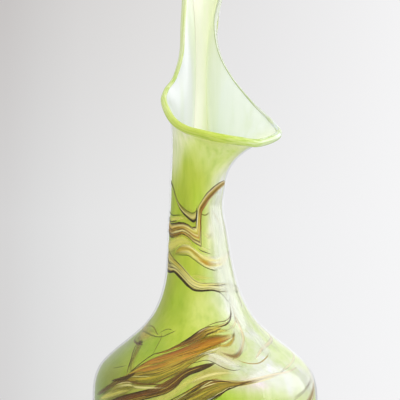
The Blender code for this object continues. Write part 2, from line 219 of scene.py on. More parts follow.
def srgb(*levels):
    """A colour given in the usual 0 to 255 levels, as the linear light that shaders take."""
    share = np.array(levels, float) / 255
    return np.where(share <= 0.04045, share / 12.92, ((share + 0.055) / 1.055) ** 2.4)


# The lime glass is not one green: its colour at an angle and a height, with how far each spot reaches
# round the vase in degrees and up it in mm. Angles are taken round an axis that leans a little, as the
# neck does. Colours in these tables are levels for srgb. The spots hold painted light as well as the
# glass's own uneven colour. The darker spots on the left, from about -120 to -175, are painted shade on
# the side away from the lights. The pale spots on the right, from about -75 to 0, are real whiter glass
# with a painted wash and reflection of the window's light on it. The pale spots just under the lip, at
# heights of about 200 to 223, are painted light that makes up for the shade under the lip.
LIME_AXIS = -2.5
LIME_BASE = srgb(200, 214, 62)
LIME_SPOTS_AND_PAINTED_LIGHT = [
    # angle, height, degrees, mm, colour
    (-175, 150, 40, 60, (176, 192, 72)),
    (-150, 205, 30, 12, (234, 240, 176)),
    (-118, 200, 22, 10, (202, 216, 66)),
    (-85, 205, 30, 10, (214, 230, 88)),
    (-128, 178, 28, 14, (180, 198, 52)),
    (-96, 180, 16, 10, (194, 216, 60)),
    (-46, 200, 26, 14, (244, 252, 156)),
    (-14, 180, 38, 22, (240, 246, 204)),
    (-150, 118, 30, 20, (166, 182, 54)),
    (-125, 118, 16, 14, (178, 202, 52)),
    (-90, 112, 22, 12, (216, 226, 112)),
    (-74, 130, 8, 10, (196, 222, 60)),
    (-70, 155, 14, 10, (252, 255, 164)),
    (-30, 130, 34, 40, (232, 238, 208)),
    (-170, 84, 26, 20, (158, 172, 92)),
    (-165, 58, 40, 22, (146, 166, 76)),
    (-128, 90, 16, 8, (162, 186, 52)),
    (-122, 68, 18, 10, (168, 178, 62)),
    (-150, 72, 14, 9, (144, 154, 58)),
    (-28, 88, 42, 30, (224, 237, 176)),
    (-40, 60, 34, 22, (212, 225, 142)),
    (-80, 58, 18, 9, (178, 208, 42)),
    (-152, 223, 38, 13, (250, 252, 222)),
    (-105, 216, 28, 8, (236, 250, 124)),
    (-58, 208, 30, 10, (242, 254, 164)),
    (-126, 219, 24, 8, (254, 255, 204)),
]


# Soft drifts of other glass in the lime: colour, strength, and rows of angle, height and reach in mm. The
# first two, milky drifts on the right of the neck and the belly, are real white glass with a painted
# reflection and highlight of the window to the right on it.
LIME_DRIFTS_AND_PAINTED_REFLECTION = [
    ((230, 235, 212), 0.9, [(-20, 186, 9), (-30, 165, 11), (-30, 145, 12), (-34, 125, 12), (-41, 110, 9),
        (-38, 98, 8), (-46, 84, 8)]),
    ((226, 230, 210), 0.9, [(-82, 85, 4), (-70, 80, 6), (-56, 74, 8), (-38, 70, 9.5), (-18, 68, 9.5),
        (0, 66, 6)]),
    ((218, 226, 166), 0.7, [(-60, 104, 4), (-57, 94, 6), (-66, 87, 4)]),
    ((172, 160, 70), 0.9, [(-80, 95, 3), (-92, 88.5, 4.5), (-104, 82, 5.5), (-116, 77, 6), (-128, 71, 5),
        (-142, 64, 4)]),
    ((178, 182, 88), 0.85, [(-86, 78, 3), (-96, 74, 5), (-104, 68, 5.5), (-114, 61, 6), (-126, 56, 5),
        (-142, 51, 4)]),
    ((186, 170, 84), 0.8, [(-76, 78, 3), (-84, 76.5, 4.5), (-92, 73, 3)]),
    ((204, 192, 124), 0.75, [(-68, 86, 4), (-78, 87, 5), (-86, 88, 3)]),
    ((228, 214, 198), 0.8, [(-74, 71, 3), (-66, 71, 4.5), (-56, 70, 4)]),
    ((104, 92, 28), 0.8, [(-152, 60, 3), (-143, 61, 4.5), (-134, 64, 3)]),
    ((132, 128, 34), 0.6, [(-128, 172, 2), (-114, 168, 3), (-100, 166, 3)]),
    ((140, 128, 40), 0.6, [(-172, 151, 3), (-160, 149, 4), (-146, 147, 3)]),
]


def drift_share(angle, height, radius, rows):
    """How much of a drift lies at each point."""
    share = np.zeros(len(angle))
    for at_angle, at_height, reach in smooth(rows, np.linspace(0, len(rows) - 1, 10 * len(rows))):
        turn = (angle - at_angle + 180) % 360 - 180
        away = (np.radians(turn) * radius) ** 2 + (height - at_height) ** 2
        share = np.maximum(share, np.exp(-away / reach ** 2))
    return share


def lime_tone_with_painted_light(points):
    """The lime glass's colour at each point, with the painted light and shade of its spots and drifts."""
    angle = np.degrees(np.arctan2(points[:, 1], points[:, 0] - LIME_AXIS))
    height = points[:, 2]
    colour = np.tile(LIME_BASE, (len(points), 1))
    for spot_angle, spot_height, degrees, reach, tone in LIME_SPOTS_AND_PAINTED_LIGHT:
        turn = (angle - spot_angle + 180) % 360 - 180
        near = np.exp(-((turn / degrees) ** 2) - ((height - spot_height) / reach) ** 2)
        colour += (srgb(*tone) - colour) * near[:, None]
    radius = np.hypot(points[:, 0], points[:, 1])
    for tone, strength, rows in LIME_DRIFTS_AND_PAINTED_REFLECTION:
        share = strength * drift_share(angle, height, radius, rows)
        colour += (srgb(*tone) - colour) * share[:, None]
    return colour


# The opal's glow is painted light: an emission that stands in for the light coming through the wall from
# behind.
OPAL_PAINTED_GLOW = 0.2
OPAL_ROUGHNESS = 0.3
LIP_ROUGHNESS = 0.08

# The opal lining's colour round the mouth: angle where its glass leaves the neck, and colour.
OPAL_BANDS = [
    (-90, (222, 228, 200)), (-45, (220, 224, 186)), (0, (221, 228, 216)), (40, (221, 229, 216)), (55,
    (218, 226, 182)), (72, (224, 228, 186)), (84, (234, 238, 208)), (98, (238, 240, 220)), (108,
    (236, 236, 220)), (113, (220, 218, 206)), (119, (221, 227, 212)), (132, (211, 215, 215)), (180,
    (198, 202, 202)), (225, (208, 214, 196)),
]

# The lip wrap's colour in the same way. From -60 round to 78, on the right, its pale tone is partly painted
# highlight, the wash of the window's light on the wrap, and partly matched to the opal lining beside it.
LIP_BANDS_AND_PAINTED_HIGHLIGHT = [
    (-120, (200, 216, 84)), (-85, (204, 222, 88)), (-60, (212, 230, 134)), (-30, (214, 228, 184)), (10,
    (214, 221, 198)), (45, (206, 213, 186)), (78, (196, 205, 164)), (95, (208, 218, 164)), (125,
    (222, 232, 170)), (150, (214, 228, 150)), (185, (212, 226, 136)), (215, (202, 218, 92)),
]


def band_tone(bands, angle):
    """The colour that the bands give at each angle."""
    at = [band[0] for band in bands]
    tones = np.array([srgb(*band[1]) for band in bands])
    return np.stack([np.interp(angle, at, tones[:, k], period=360) for k in range(3)], -1)


# ---------------------------------------------------------------- materials


def new_material(name, shader_of, *details):
    """A node material whose last shader node shader_of(tree, *details) makes."""
    material = bpy.data.materials.new(name)
    material.use_nodes = True
    tree = material.node_tree
    tree.nodes.clear()
    shader = shader_of(tree, *details)
    add(tree, "OutputMaterial", Surface=shader.outputs[0])
    return material


def linked(name, data):
    """A new object of that data, in the scene."""
    item = bpy.data.objects.new(name, data)
    bpy.context.collection.objects.link(item)
    return item


def add(tree, kind, settings=None, **inputs):
    """A node of that kind. An input is a value or another node's output, and n0 is the first input."""
    item = tree.nodes.new("ShaderNode" + kind)
    for key, value in (settings or {}).items():
        setattr(item, key, value)
    for key, value in inputs.items():
        socket = item.inputs[int(key[1:]) if key[1:].isdigit() else key.replace("_", " ")]
        if isinstance(value, bpy.types.NodeSocket):
            tree.links.new(value, socket)
        else:
            socket.default_value = value
    return item


def math_node(tree, operation, *values, clamp=False):
    """The output of a Math node."""
    inputs = {f"n{i}": value for i, value in enumerate(values)}
    return add(tree, "Math", {"operation": operation, "use_clamp": clamp}, **inputs).outputs[0]


def carried_by_mesh(tree, *names):
    """The outputs that read what the mesh carries: a colour for tone, a number for any other name."""
    outputs = []
    for name in names:
        item = add(tree, "Attribute", {"attribute_name": name})
        outputs.append(item.outputs["Color" if name == "tone" else "Fac"])
    return outputs


def mix_colour(tree, share, first, second, blend="MIX"):
    """The output of a colour mix."""
    settings = {"data_type": "RGBA", "blend_type": blend}
    return add(tree, "Mix", settings, n0=share, n6=first, n7=second).outputs[2]


def remap(tree, value, low, high, interpolation="SMOOTHSTEP"):
    """How far a value is on its way from low to high, 0 to 1."""
    settings = {"interpolation_type": interpolation}
    return add(tree, "MapRange", settings, Value=value, From_Min=low, From_Max=high).outputs[0]


def noise(tree, vector, detail, roughness=0.5, scale=1.0):
    """A noise's value, about 0 to 1 with a middle of 0.5."""
    settings = {"noise_dimensions": "3D"}
    inputs = {"Vector": vector, "Scale": scale, "Detail": detail, "Roughness": roughness}
    return add(tree, "TexNoise", settings, **inputs).outputs[0]


def ramp(tree, value, stops):
    """A colour ramp's two outputs, colour and opacity; stops are (place, colour, opacity)."""
    item = tree.nodes.new("ShaderNodeValToRGB")
    elements = item.color_ramp.elements
    while len(elements) < len(stops):
        elements.new(0.5)
    for element, (place, colour, opacity) in zip(elements, stops):
        element.position = place
        element.color = (*colour, opacity)
    tree.links.new(value, item.inputs[0])
    return item.outputs


def tinted(tree, colour, value, low, high, middle=0.5):
    """The colour, tinted where a noise is low and where it is high; low and high are (noise, tint)."""
    stops = [(*low, 1), (middle, (1, 1, 1), 1), (*high, 1)]
    return mix_colour(tree, 1.0, colour, ramp(tree, value, stops)[0], "MULTIPLY")


def stretched(tree, across, up):
    """Coordinates in the vase's own frame, for streaks that run up the wall: noise steps in a metre."""
    place = add(tree, "TexCoord").outputs["Object"]
    return add(tree, "Mapping", n0=place, Scale=(across, across, up)).outputs[0]


def drawn_out(tree, along, across, steps, seed):
    """Coordinates in a trail: noise steps in a mm along it, and in the width across it."""
    far = math_node(tree, "MULTIPLY", along, steps[0])
    wide = math_node(tree, "MULTIPLY", across, steps[1])
    return add(tree, "CombineXYZ", n0=far, n1=wide, n2=seed).outputs[0]


# How streaks are drawn out, across and up a layer.
LIME_STREAKS = (260.0, 46.0)
LIME_CLOUDS = (60.0, 30.0)
OPAL_STREAKS = (180.0, 12.0)
# The same, along and across a trail.
STRAND_STEPS = (0.09, 11.0)
WAVER_STEPS = (0.16, 2.4)
FRAY_STEPS = (0.25, 14.0)
LIP_STEPS = (0.06, 1.0)
# How far across and along run on the lip wrap, to either side of 0.
LIP_ACROSS = 1.5
LIP_ALONG = 32
# Added to a band's seed for its fine strands and for its frayed edges.
STRAND_SEED = 3.7
FRAY_SEED = 9.1
# How far the fine strands of a band stray, as a share of its width.
FRAY = 0.16

BURIED_GLOSS = 0.1
BURIED_ROUGHNESS = 0.5
FILM_GLOSS = 0.03
FILM_ROUGHNESS = 0.12


def lime_colour(tree):
    """The lime glass: its tone, with fine streaks drawn up the wall and cloudy patches."""
    (tone,) = carried_by_mesh(tree, "tone")
    streaks = noise(tree, stretched(tree, *LIME_STREAKS), 4.0, 0.6)
    clouds = noise(tree, stretched(tree, *LIME_CLOUDS), 2.0)
    streaked = tinted(tree, tone, streaks, (0.30, (0.84, 0.90, 0.70)), (0.72, (1.06, 1.03, 1.25)), 0.52)
    return tinted(tree, streaked, clouds, (0.32, (0.88, 0.92, 0.72)), (0.68, (1.08, 1.03, 1.3))), 1.0


def buried_glass(tree, colour_of):
    """Coloured glass under the clear casing: no gloss of its own, because the casing has it."""
    colour, opacity = colour_of(tree)
    inputs = {"Base_Color": colour, "Alpha": opacity, "Specular_IOR_Level": BURIED_GLOSS}
    return add(tree, "BsdfPrincipled", Roughness=BURIED_ROUGHNESS, **inputs)


def with_strands(tree, colour, across, along, streak, seed):
    """The colour, tinted lighter and darker by streak in fine strands that run along a trail."""
    value = noise(tree, drawn_out(tree, along, across, STRAND_STEPS, seed + STRAND_SEED), 3.0, 0.6)
    return tinted(tree, colour, value, (0.34, (1 - streak,) * 3), (0.66, (1 + streak,) * 3))


def band_colour(stations, waver, streak, seed):
    """The colour and opacity of a band: its profile from edge to edge, which changes along its length.

    A station is (share of the length, profile), and a profile lists (place, colour, opacity).
    """

    def colour_of(tree):
        across, along, length, fade = carried_by_mesh(tree, "across", "along", "length", "fade")
        slow = noise(tree, drawn_out(tree, along, across, WAVER_STEPS, seed), 4.0, 0.65)
        bend = math_node(tree, "SUBTRACT", slow, 0.5)
        place = math_node(tree, "MULTIPLY_ADD", bend, waver, across)
        hair = noise(tree, drawn_out(tree, along, across, FRAY_STEPS, seed + FRAY_SEED), 3.0, 0.6)
        fray = math_node(tree, "SUBTRACT", hair, 0.5)
        place = math_node(tree, "MULTIPLY_ADD", fray, FRAY, place, clamp=True)
        colour, opacity = ramp(tree, place, stations[0][1])
        for (before, _), (share, profile) in zip(stations, stations[1:]):
            next_colour, next_opacity = ramp(tree, place, profile)
            turn = remap(tree, length, before, share)
            colour = mix_colour(tree, turn, colour, next_colour)
            change = math_node(tree, "SUBTRACT", next_opacity, opacity)
            opacity = math_node(tree, "MULTIPLY_ADD", change, turn, opacity)
        streaked = with_strands(tree, colour, place, along, streak, seed)
        return streaked, math_node(tree, "MULTIPLY", opacity, fade)

    return colour_of


def thread_colour(softness, streak):
    """The colour and opacity of a group of threads or veils, which the mesh carries."""

    def colour_of(tree):
        across, along, fade, tone = carried_by_mesh(tree, "across", "along", "fade", "tone")
        off_middle = math_node(tree, "ABSOLUTE", math_node(tree, "MULTIPLY_ADD", across, 2.0, -1.0))
        edge = remap(tree, off_middle, 1.0, 1.0 - softness)
        streaked = with_strands(tree, tone, across, along, streak, 0.0)
        return streaked, math_node(tree, "MULTIPLY", edge, fade)

    return colour_of


def lip_colour(tree):
    """The lip wrap: bright lime with darker threads along it."""
    tone, across, along = carried_by_mesh(tree, "tone", "across", "along")
    threads = noise(tree, drawn_out(tree, along, across, LIP_STEPS, 0.0), 3.0, 0.6, scale=1.6)
    return tinted(tree, tone, threads, (0.36, (0.72, 0.82, 0.46)), (0.66, (1.1, 1.05, 1.7)))


def opal_colour(tree):
    """The opal lining: its tone with faint bands drawn up the petal."""
    (tone,) = carried_by_mesh(tree, "tone")
    bands = noise(tree, stretched(tree, *OPAL_STREAKS), 2.0)
    return tinted(tree, tone, bands, (0.32, (0.95, 0.965, 0.90)), (0.7, (1.03, 1.02, 1.03)))


def glossy_glass(tree, colour_of, roughness, glow=0.0):
    """Glass with a fire-polished face of its own; its glow is painted light, standing in for light from
    behind.
    """
    colour = colour_of(tree)
    inputs = {"Base_Color": colour, "Emission_Color": colour, "Emission_Strength": glow}
    return add(tree, "BsdfPrincipled", Roughness=roughness, IOR=1.5, **inputs)


def clear_film(tree):
    """The face of the clear casing: it lets everything through but what its gloss throws back."""
    facing = add(tree, "LayerWeight", Blend=0.5).outputs["Facing"]
    slant = math_node(tree, "POWER", facing, 5.0)
    gloss = math_node(tree, "MULTIPLY_ADD", slant, 1 - FILM_GLOSS, FILM_GLOSS)
    through = add(tree, "BsdfTransparent", Color=(0.985, 0.99, 0.985, 1.0))
    shine = add(tree, "BsdfGlossy", Color=(1.0, 1.0, 1.0, 1.0), Roughness=FILM_ROUGHNESS)
    return add(tree, "MixShader", n0=gloss, n1=through.outputs[0], n2=shine.outputs[0])


def unseen_face(tree):
    """The casing's inner face, which touches the colours and shows nothing."""
    return add(tree, "BsdfPrincipled", Alpha=0.0)


# ---------------------------------------------------------------- meshes


def mesh_piece(name, points, faces, material, slot, nodes, **carried):
    """A smooth piece on the vase's one body, which stands for those CAD nodes."""
    mesh = bpy.data.meshes.new(name)
    mesh.from_pydata((np.asarray(points) * MM).tolist(), [], faces)
    mesh.validate()
    for key, values in carried.items():
        values = np.asarray(values, np.float32)
        if values.ndim == 2:
            colours = np.column_stack([values, np.ones(len(values), np.float32)])
            mesh.attributes.new(key, "FLOAT_COLOR", "POINT").data.foreach_set("color", colours.ravel())
        else:
            mesh.attributes.new(key, "FLOAT", "POINT").data.foreach_set("value", values)
    mesh.shade_smooth()
    mesh.set_sharp_from_angle(angle=SHARP_ANGLE)
    mesh.materials.append(material)
    item = linked(name, mesh)
    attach(item, "root")
    if nodes:
        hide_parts(*nodes)
    return item


def quads(rings, count, corners, closed=False):
    """The faces between neighbouring rings of count points; closed joins the last ring to the first.

    corners orders each face: 0 is a point, 1 the next on its ring, and 2 and 3 lie past those two.
    """
    faces = []
    for ring in range(rings if closed else rings - 1):
        here, after = ring * count, (ring + 1) % rings * count
        for point in range(count):
            beside = (point + 1) % count
            face = (here + point, here + beside, after + point, after + beside)
            faces.append(tuple(face[corner] for corner in corners))
    return faces


def floor_rings(ring, height):
    """The rings that carry a layer from its lowest wall ring down to a flat floor, without the pole."""
    radius = np.hypot(ring[:, 0], ring[:, 1])
    slope = (WALL[1][1] - WALL[0][1]) / (WALL[1][0] - WALL[0][0])
    corner = radius - (ring[:, 2] - height) * slope
    flat = radius * FLOOR_FLAT_SHARE
    rings = []
    for t in np.arange(FLOOR_STEPS) / FLOOR_STEPS:
        r = flat * (1 - t) ** 2 + 2 * corner * t * (1 - t) + radius * t**2
        z = height * (1 - t**2) + ring[:, 2] * t**2
        rings.append(np.stack([ring[:, 0] / radius * r, ring[:, 1] / radius * r, z], -1))
    return rings


def shell(outer, inner, pole_heights):
    """Points and faces of a bowl-shaped layer: its rings run from the bottom pole to the rim and back."""
    count = len(outer[0])
    loops = list(outer) + list(inner)[::-1]
    points = [p for ring in loops for p in ring]
    faces = quads(len(loops), count, (0, 1, 3, 2))
    last = (len(loops) - 1) * count
    first_pole = len(points)
    points += [np.array([0.0, 0.0, height]) for height in pole_heights]
    for i in range(count):
        faces.append((first_pole, (i + 1) % count, i))
        faces.append((first_pole + 1, last + i, last + (i + 1) % count))
    return np.array(points), faces, len(outer) * count


def layer_points(depths, floors):
    """Points and faces of a colour layer between two depths, closed by its own floor."""
    (out_body, in_body), (out_rim, in_rim) = depths
    outer, inner = sheet(out_body, out_rim), sheet(in_body, in_rim)
    outer = floor_rings(outer[0], floors[0]) + list(outer)
    inner = floor_rings(inner[0], floors[1]) + list(inner)
    return shell(outer, inner, floors)


def foot_rings(ring):
    """The underside's rings, from the punty mark out over the rounded foot to the first wall ring."""
    direction = ring[:, :2] / np.hypot(ring[:, 0], ring[:, 1])[:, None]
    outline = UNDERSIDE + [(WALL[0][1], WALL[0][0])]
    rounded = len(UNDERSIDE) - 3
    corner = np.linspace(rounded, len(outline) - 1, FOOT_CORNER_STEPS)[:-1]
    steps = np.concatenate([np.arange(rounded), corner])
    rings = []
    for r, z in smooth(outline, steps):
        rings.append(np.column_stack([direction * r, np.full(len(ring), max(z, 0.0))]))
    return rings


def make_casing():
    """The clear casing with its heavy base."""
    (out_body, in_body), (out_rim, in_rim) = CASING
    outer, inner = sheet(out_body, out_rim), sheet(in_body, in_rim)
    outer = foot_rings(outer[0]) + list(outer)
    inner = floor_rings(inner[0], CASING_FLOOR) + list(inner)
    points, faces, skin = shell(outer, inner, (PUNTY_DEPTH, CASING_FLOOR))
    material = new_material("clear_film", clear_film)
    item = mesh_piece("clear_casing_glass", points, faces, material, "clear", ["clear_casing"])
    item.data.materials.append(new_material("casing_inner_face", unseen_face))
    inner_faces = [max(face) >= skin and len(points) - 2 not in face for face in faces]
    item.data.polygons.foreach_set("material_index", np.array(inner_faces, np.int32))


def make_lime():
    """The lime layer."""
    points, faces, _ = layer_points(LIME, LIME_FLOOR)
    material = new_material("lime_glass", buried_glass, lime_colour)
    mesh_piece("lime_glass", points, faces, material, "lime", ["lime_layer"], tone=lime_tone_with_painted_light(points))


def make_opal():
    """The opal lining, the glass seen inside the mouth."""
    points, faces, _ = layer_points(OPAL, OPAL_FLOOR)
    rings = (len(points) - 2) // len(COLUMNS)
    angle = np.append(np.tile(GRID_ANGLE[0], rings), [0.0, 0.0])
    material = new_material("opal_glass", glossy_glass, opal_colour, OPAL_ROUGHNESS, OPAL_PAINTED_GLOW)
    tone = band_tone(OPAL_BANDS, angle)
    mesh_piece("opal_glass", points, faces, material, "opal", ["opal_lining"], tone=tone)


def make_lip():
    """The lip wrap: an oval rod of lime glass round the rim."""
    s = np.arange(len(RIM) * LIP_STEPS_PER_KNOT) / LIP_STEPS_PER_KNOT
    angle, rim, reach = rim_line(s)
    square = rim_directions(s)[1]
    normal = outward(s, np.full_like(s, ROWS[-1]))
    half_wall = OPAL[1][1] / 2
    middle = rim - square * reach[:, None] - normal * half_wall
    half_width = half_wall + LIP_PROUD * reach
    turns = np.arange(LIP_SIDES) * math.tau / LIP_SIDES
    offset = square[:, None] * (np.cos(turns)[None, :] * reach[:, None])[..., None]
    offset = offset + normal[:, None] * (np.sin(turns)[None, :] * half_width[:, None])[..., None]
    points = (middle[:, None] + offset).reshape(-1, 3)
    faces = quads(len(s), LIP_SIDES, (0, 2, 3, 1), closed=True)
    carried = {
        "tone": np.repeat(band_tone(LIP_BANDS_AND_PAINTED_HIGHLIGHT, angle), LIP_SIDES, 0),
        "across": np.tile(np.sin(turns) * LIP_ACROSS, len(s)),
        "along": np.repeat(np.sin(np.radians(angle)) + np.cos(np.radians(angle)), LIP_SIDES) * LIP_ALONG,
    }
    material = new_material("lip_glass", glossy_glass, lip_colour, LIP_ROUGHNESS)
    mesh_piece("lip_glass", points, faces, material, "lip", ["lip_wrap"], **carried)


# ---------------------------------------------------------------- trails

# The spacing of a trail's points along it and across it, and the fewest steps either way.
STRIP_STEP = 1.1
STRIP_COLUMN = 2.4
FEWEST_STEPS = 12
FEWEST_COLUMNS = 4

FINE_ROWS = np.linspace(0, len(WALL) - 1, 600)
FINE_HEIGHTS = smooth(WALL, FINE_ROWS)[:, 0]


def body_point(angle, height, depth=0.0):
    """The point under the wall's outer surface at an angle, a height and a depth."""
    row = np.interp(height, FINE_HEIGHTS, FINE_ROWS)
    here = wall_point(angle, row)
    along = wall_point(angle + 0.5, row) - wall_point(angle - 0.5, row)
    up = wall_point(angle, row + 0.02) - wall_point(angle, row - 0.02)
    return here - unit(np.cross(along, up)) * np.asarray(depth)[..., None]


def steps_along(rows):
    """The rows made fine."""
    rows = np.array(rows, float)
    return smooth(rows, np.linspace(0, len(rows) - 1, 40 * len(rows)))


def path_edges(path):
    """The edges of a trail from its middle line and width: top angle, height, low angle, height."""
    angle, height, width = steps_along(path).T
    per_degree = np.linalg.norm(body_point(angle + 0.5, height) - body_point(angle - 0.5, height), axis=1)
    per_rise = np.linalg.norm(body_point(angle, height + 0.5) - body_point(angle, height - 0.5), axis=1)
    run = np.gradient(angle) * per_degree
    rise = np.gradient(height) * per_rise
    length = np.hypot(run, rise)
    turn = width / 2 * -rise / length / per_degree
    climb = width / 2 * run / length / per_rise
    return np.stack([angle + turn, height + climb, angle - turn, height - climb], 1)


def edges_of(rows):
    """The edges of a wide trail, from rows in either of the two ways that BANDS gives them."""
    return steps_along(rows) if len(rows[0]) == 4 else path_edges(rows)


def strip(edges, level, ends):
    """A flat closed ribbon between two edges, run out thin at its ends.

    It gives the points, the faces and what they carry.
    """
    middle = body_point((edges[:, 0] + edges[:, 2]) / 2, (edges[:, 1] + edges[:, 3]) / 2)
    run = np.append(0, np.cumsum(np.linalg.norm(np.diff(middle, axis=0), axis=1)))
    places = np.linspace(0, run[-1], max(FEWEST_STEPS, round(run[-1] / STRIP_STEP)) + 1)
    edges = np.stack([np.interp(places, run, edges[:, k]) for k in range(4)], 1)
    ramp_in = places / ends[0] if ends[0] else 1 + 0 * places
    ramp_out = (places[-1] - places) / ends[1] if ends[1] else 1 + 0 * places
    taper = np.clip(np.minimum(ramp_in, ramp_out), 0, 1)
    taper = taper * (2 - taper)
    top, low = body_point(edges[:, 0], edges[:, 1]), body_point(edges[:, 2], edges[:, 3])
    width = np.linalg.norm(top - low, axis=1).max()
    columns = max(FEWEST_COLUMNS, 2 * math.ceil(width / STRIP_COLUMN))
    share = np.linspace(0, 1, columns + 1)
    spread = 0.5 + (share - 0.5) * (0.5 + 0.5 * taper)[:, None]
    turn = edges[:, :1] + (edges[:, 2:3] - edges[:, :1]) * spread
    rise = edges[:, 1:2] + (edges[:, 3:] - edges[:, 1:2]) * spread
    crown = (TRAIL_EDGE - TRAIL_FACE) * (1 - (2 * share - 1) ** 2)
    face = body_point(turn, rise, TRAIL_EDGE - level * LEVEL - crown + 0 * turn)
    back = body_point(turn, rise, TRAIL_BACK - level * LEVEL + 0 * turn)[:, -2:0:-1]
    points = np.concatenate([face, back], 1)
    ring = points.shape[1]
    faces = quads(len(places), ring, (1, 0, 2, 3))
    faces.append(tuple(range(ring)))
    faces.append(tuple((len(places) - 1) * ring + k for k in reversed(range(ring))))
    half = len(places) // 2
    heading = face[half + 1, 0] - face[half, 0]
    down = face[half, -1] - face[half, 0]
    if np.dot(np.cross(down, heading)[:2], face[half, 0, :2]) > 0:
        faces = [tuple(reversed(corners)) for corners in faces]
    carried = {
        "across": np.tile(np.concatenate([share, share[-2:0:-1]]), len(places)),
        "along": np.repeat(places, ring),
        "length": np.repeat(places / places[-1], ring),
        "fade": np.repeat(taper, ring),
    }
    return points.reshape(-1, 3), faces, carried


def lay_in_glass(item):
    """Let light reach the glass under a trail, which is fused to it: the gap between them casts no shadow."""
    item.visible_shadow = False
    item.visible_diffuse = False


# These two bands are too fine for the CAD and stand for no node. Every other is named after its own.
EXTRA_BANDS = ("shoulder_orange_band", "shoulder_brown_band")


def make_band(seed, name, slot, rows, stations, level=1, waver=0.1, streak=0.16, ends=(10, 10)):
    """A wide trail of coloured glass; ends are the lengths over which its two ends thin out."""
    points, faces, carried = strip(edges_of(rows), level, ends)
    material = new_material(name, buried_glass, band_colour(stations, waver, streak, seed))
    nodes = [] if name in EXTRA_BANDS else [name]
    lay_in_glass(mesh_piece(name + "_glass", points, faces, material, slot, nodes, **carried))


def make_threads(name, groups, level, softness, streak, end=5.0):
    """Fine threads or soft veils of glass, one piece for each slot they belong to."""
    for slot, lines in groups.items():
        points, faces = [], []
        carried = {"across": [], "along": [], "fade": [], "tone": []}
        for tone, opacity, path in lines:
            spots, corners, values = strip(path_edges(path), level, (end, end))
            start = sum(len(part) for part in points)
            points.append(spots)
            faces += [tuple(start + corner for corner in face) for face in corners]
            values["tone"] = np.tile(tone, (len(spots), 1))
            values["fade"] = values["fade"] * opacity
            for key, parts in carried.items():
                parts.append(values[key])
        carried = {key: np.concatenate(parts) for key, parts in carried.items()}
        points = np.concatenate(points)
        title = f"{slot}_{name}"
        material = new_material(title, buried_glass, thread_colour(softness, streak))
        lay_in_glass(mesh_piece(title + "_glass", points, faces, material, slot, [], **carried))


BLACK = srgb(54, 42, 10)
DARK = srgb(80, 60, 14)
BROWN = srgb(108, 80, 24)
UMBER = srgb(100, 66, 26)
WOOD = srgb(134, 98, 38)
RUST = srgb(160, 98, 32)
ORANGE = srgb(190, 132, 42)
AMBER = srgb(196, 152, 38)
GOLD = srgb(200, 176, 54)
TAN = srgb(182, 154, 52)
OLIVE = srgb(134, 126, 34)
MOSS = srgb(96, 104, 28)
CREAM = srgb(240, 230, 150)
STRAW = srgb(222, 214, 104)
PALE = srgb(238, 238, 206)
BEIGE = srgb(224, 208, 158)
PINK = srgb(236, 222, 192)
GREY = srgb(196, 188, 160)
MILK = srgb(226, 230, 210)


def soft(*tones, edge=0.06, opacity=1):
    """A profile of evenly spaced tones, clear at both edges."""
    last = max(len(tones) - 1, 1)
    inner = [(edge + (1 - 2 * edge) * k / last, tone, opacity) for k, tone in enumerate(tones)]
    return [(0, tones[0], 0), *inner, (1, tones[-1], 0)]


def haze(top, middle, opacity, low):
    """A profile that is thin in the middle and clear at both edges."""
    return [(0, top, 0), (0.5, middle, opacity), (1, low, 0)]


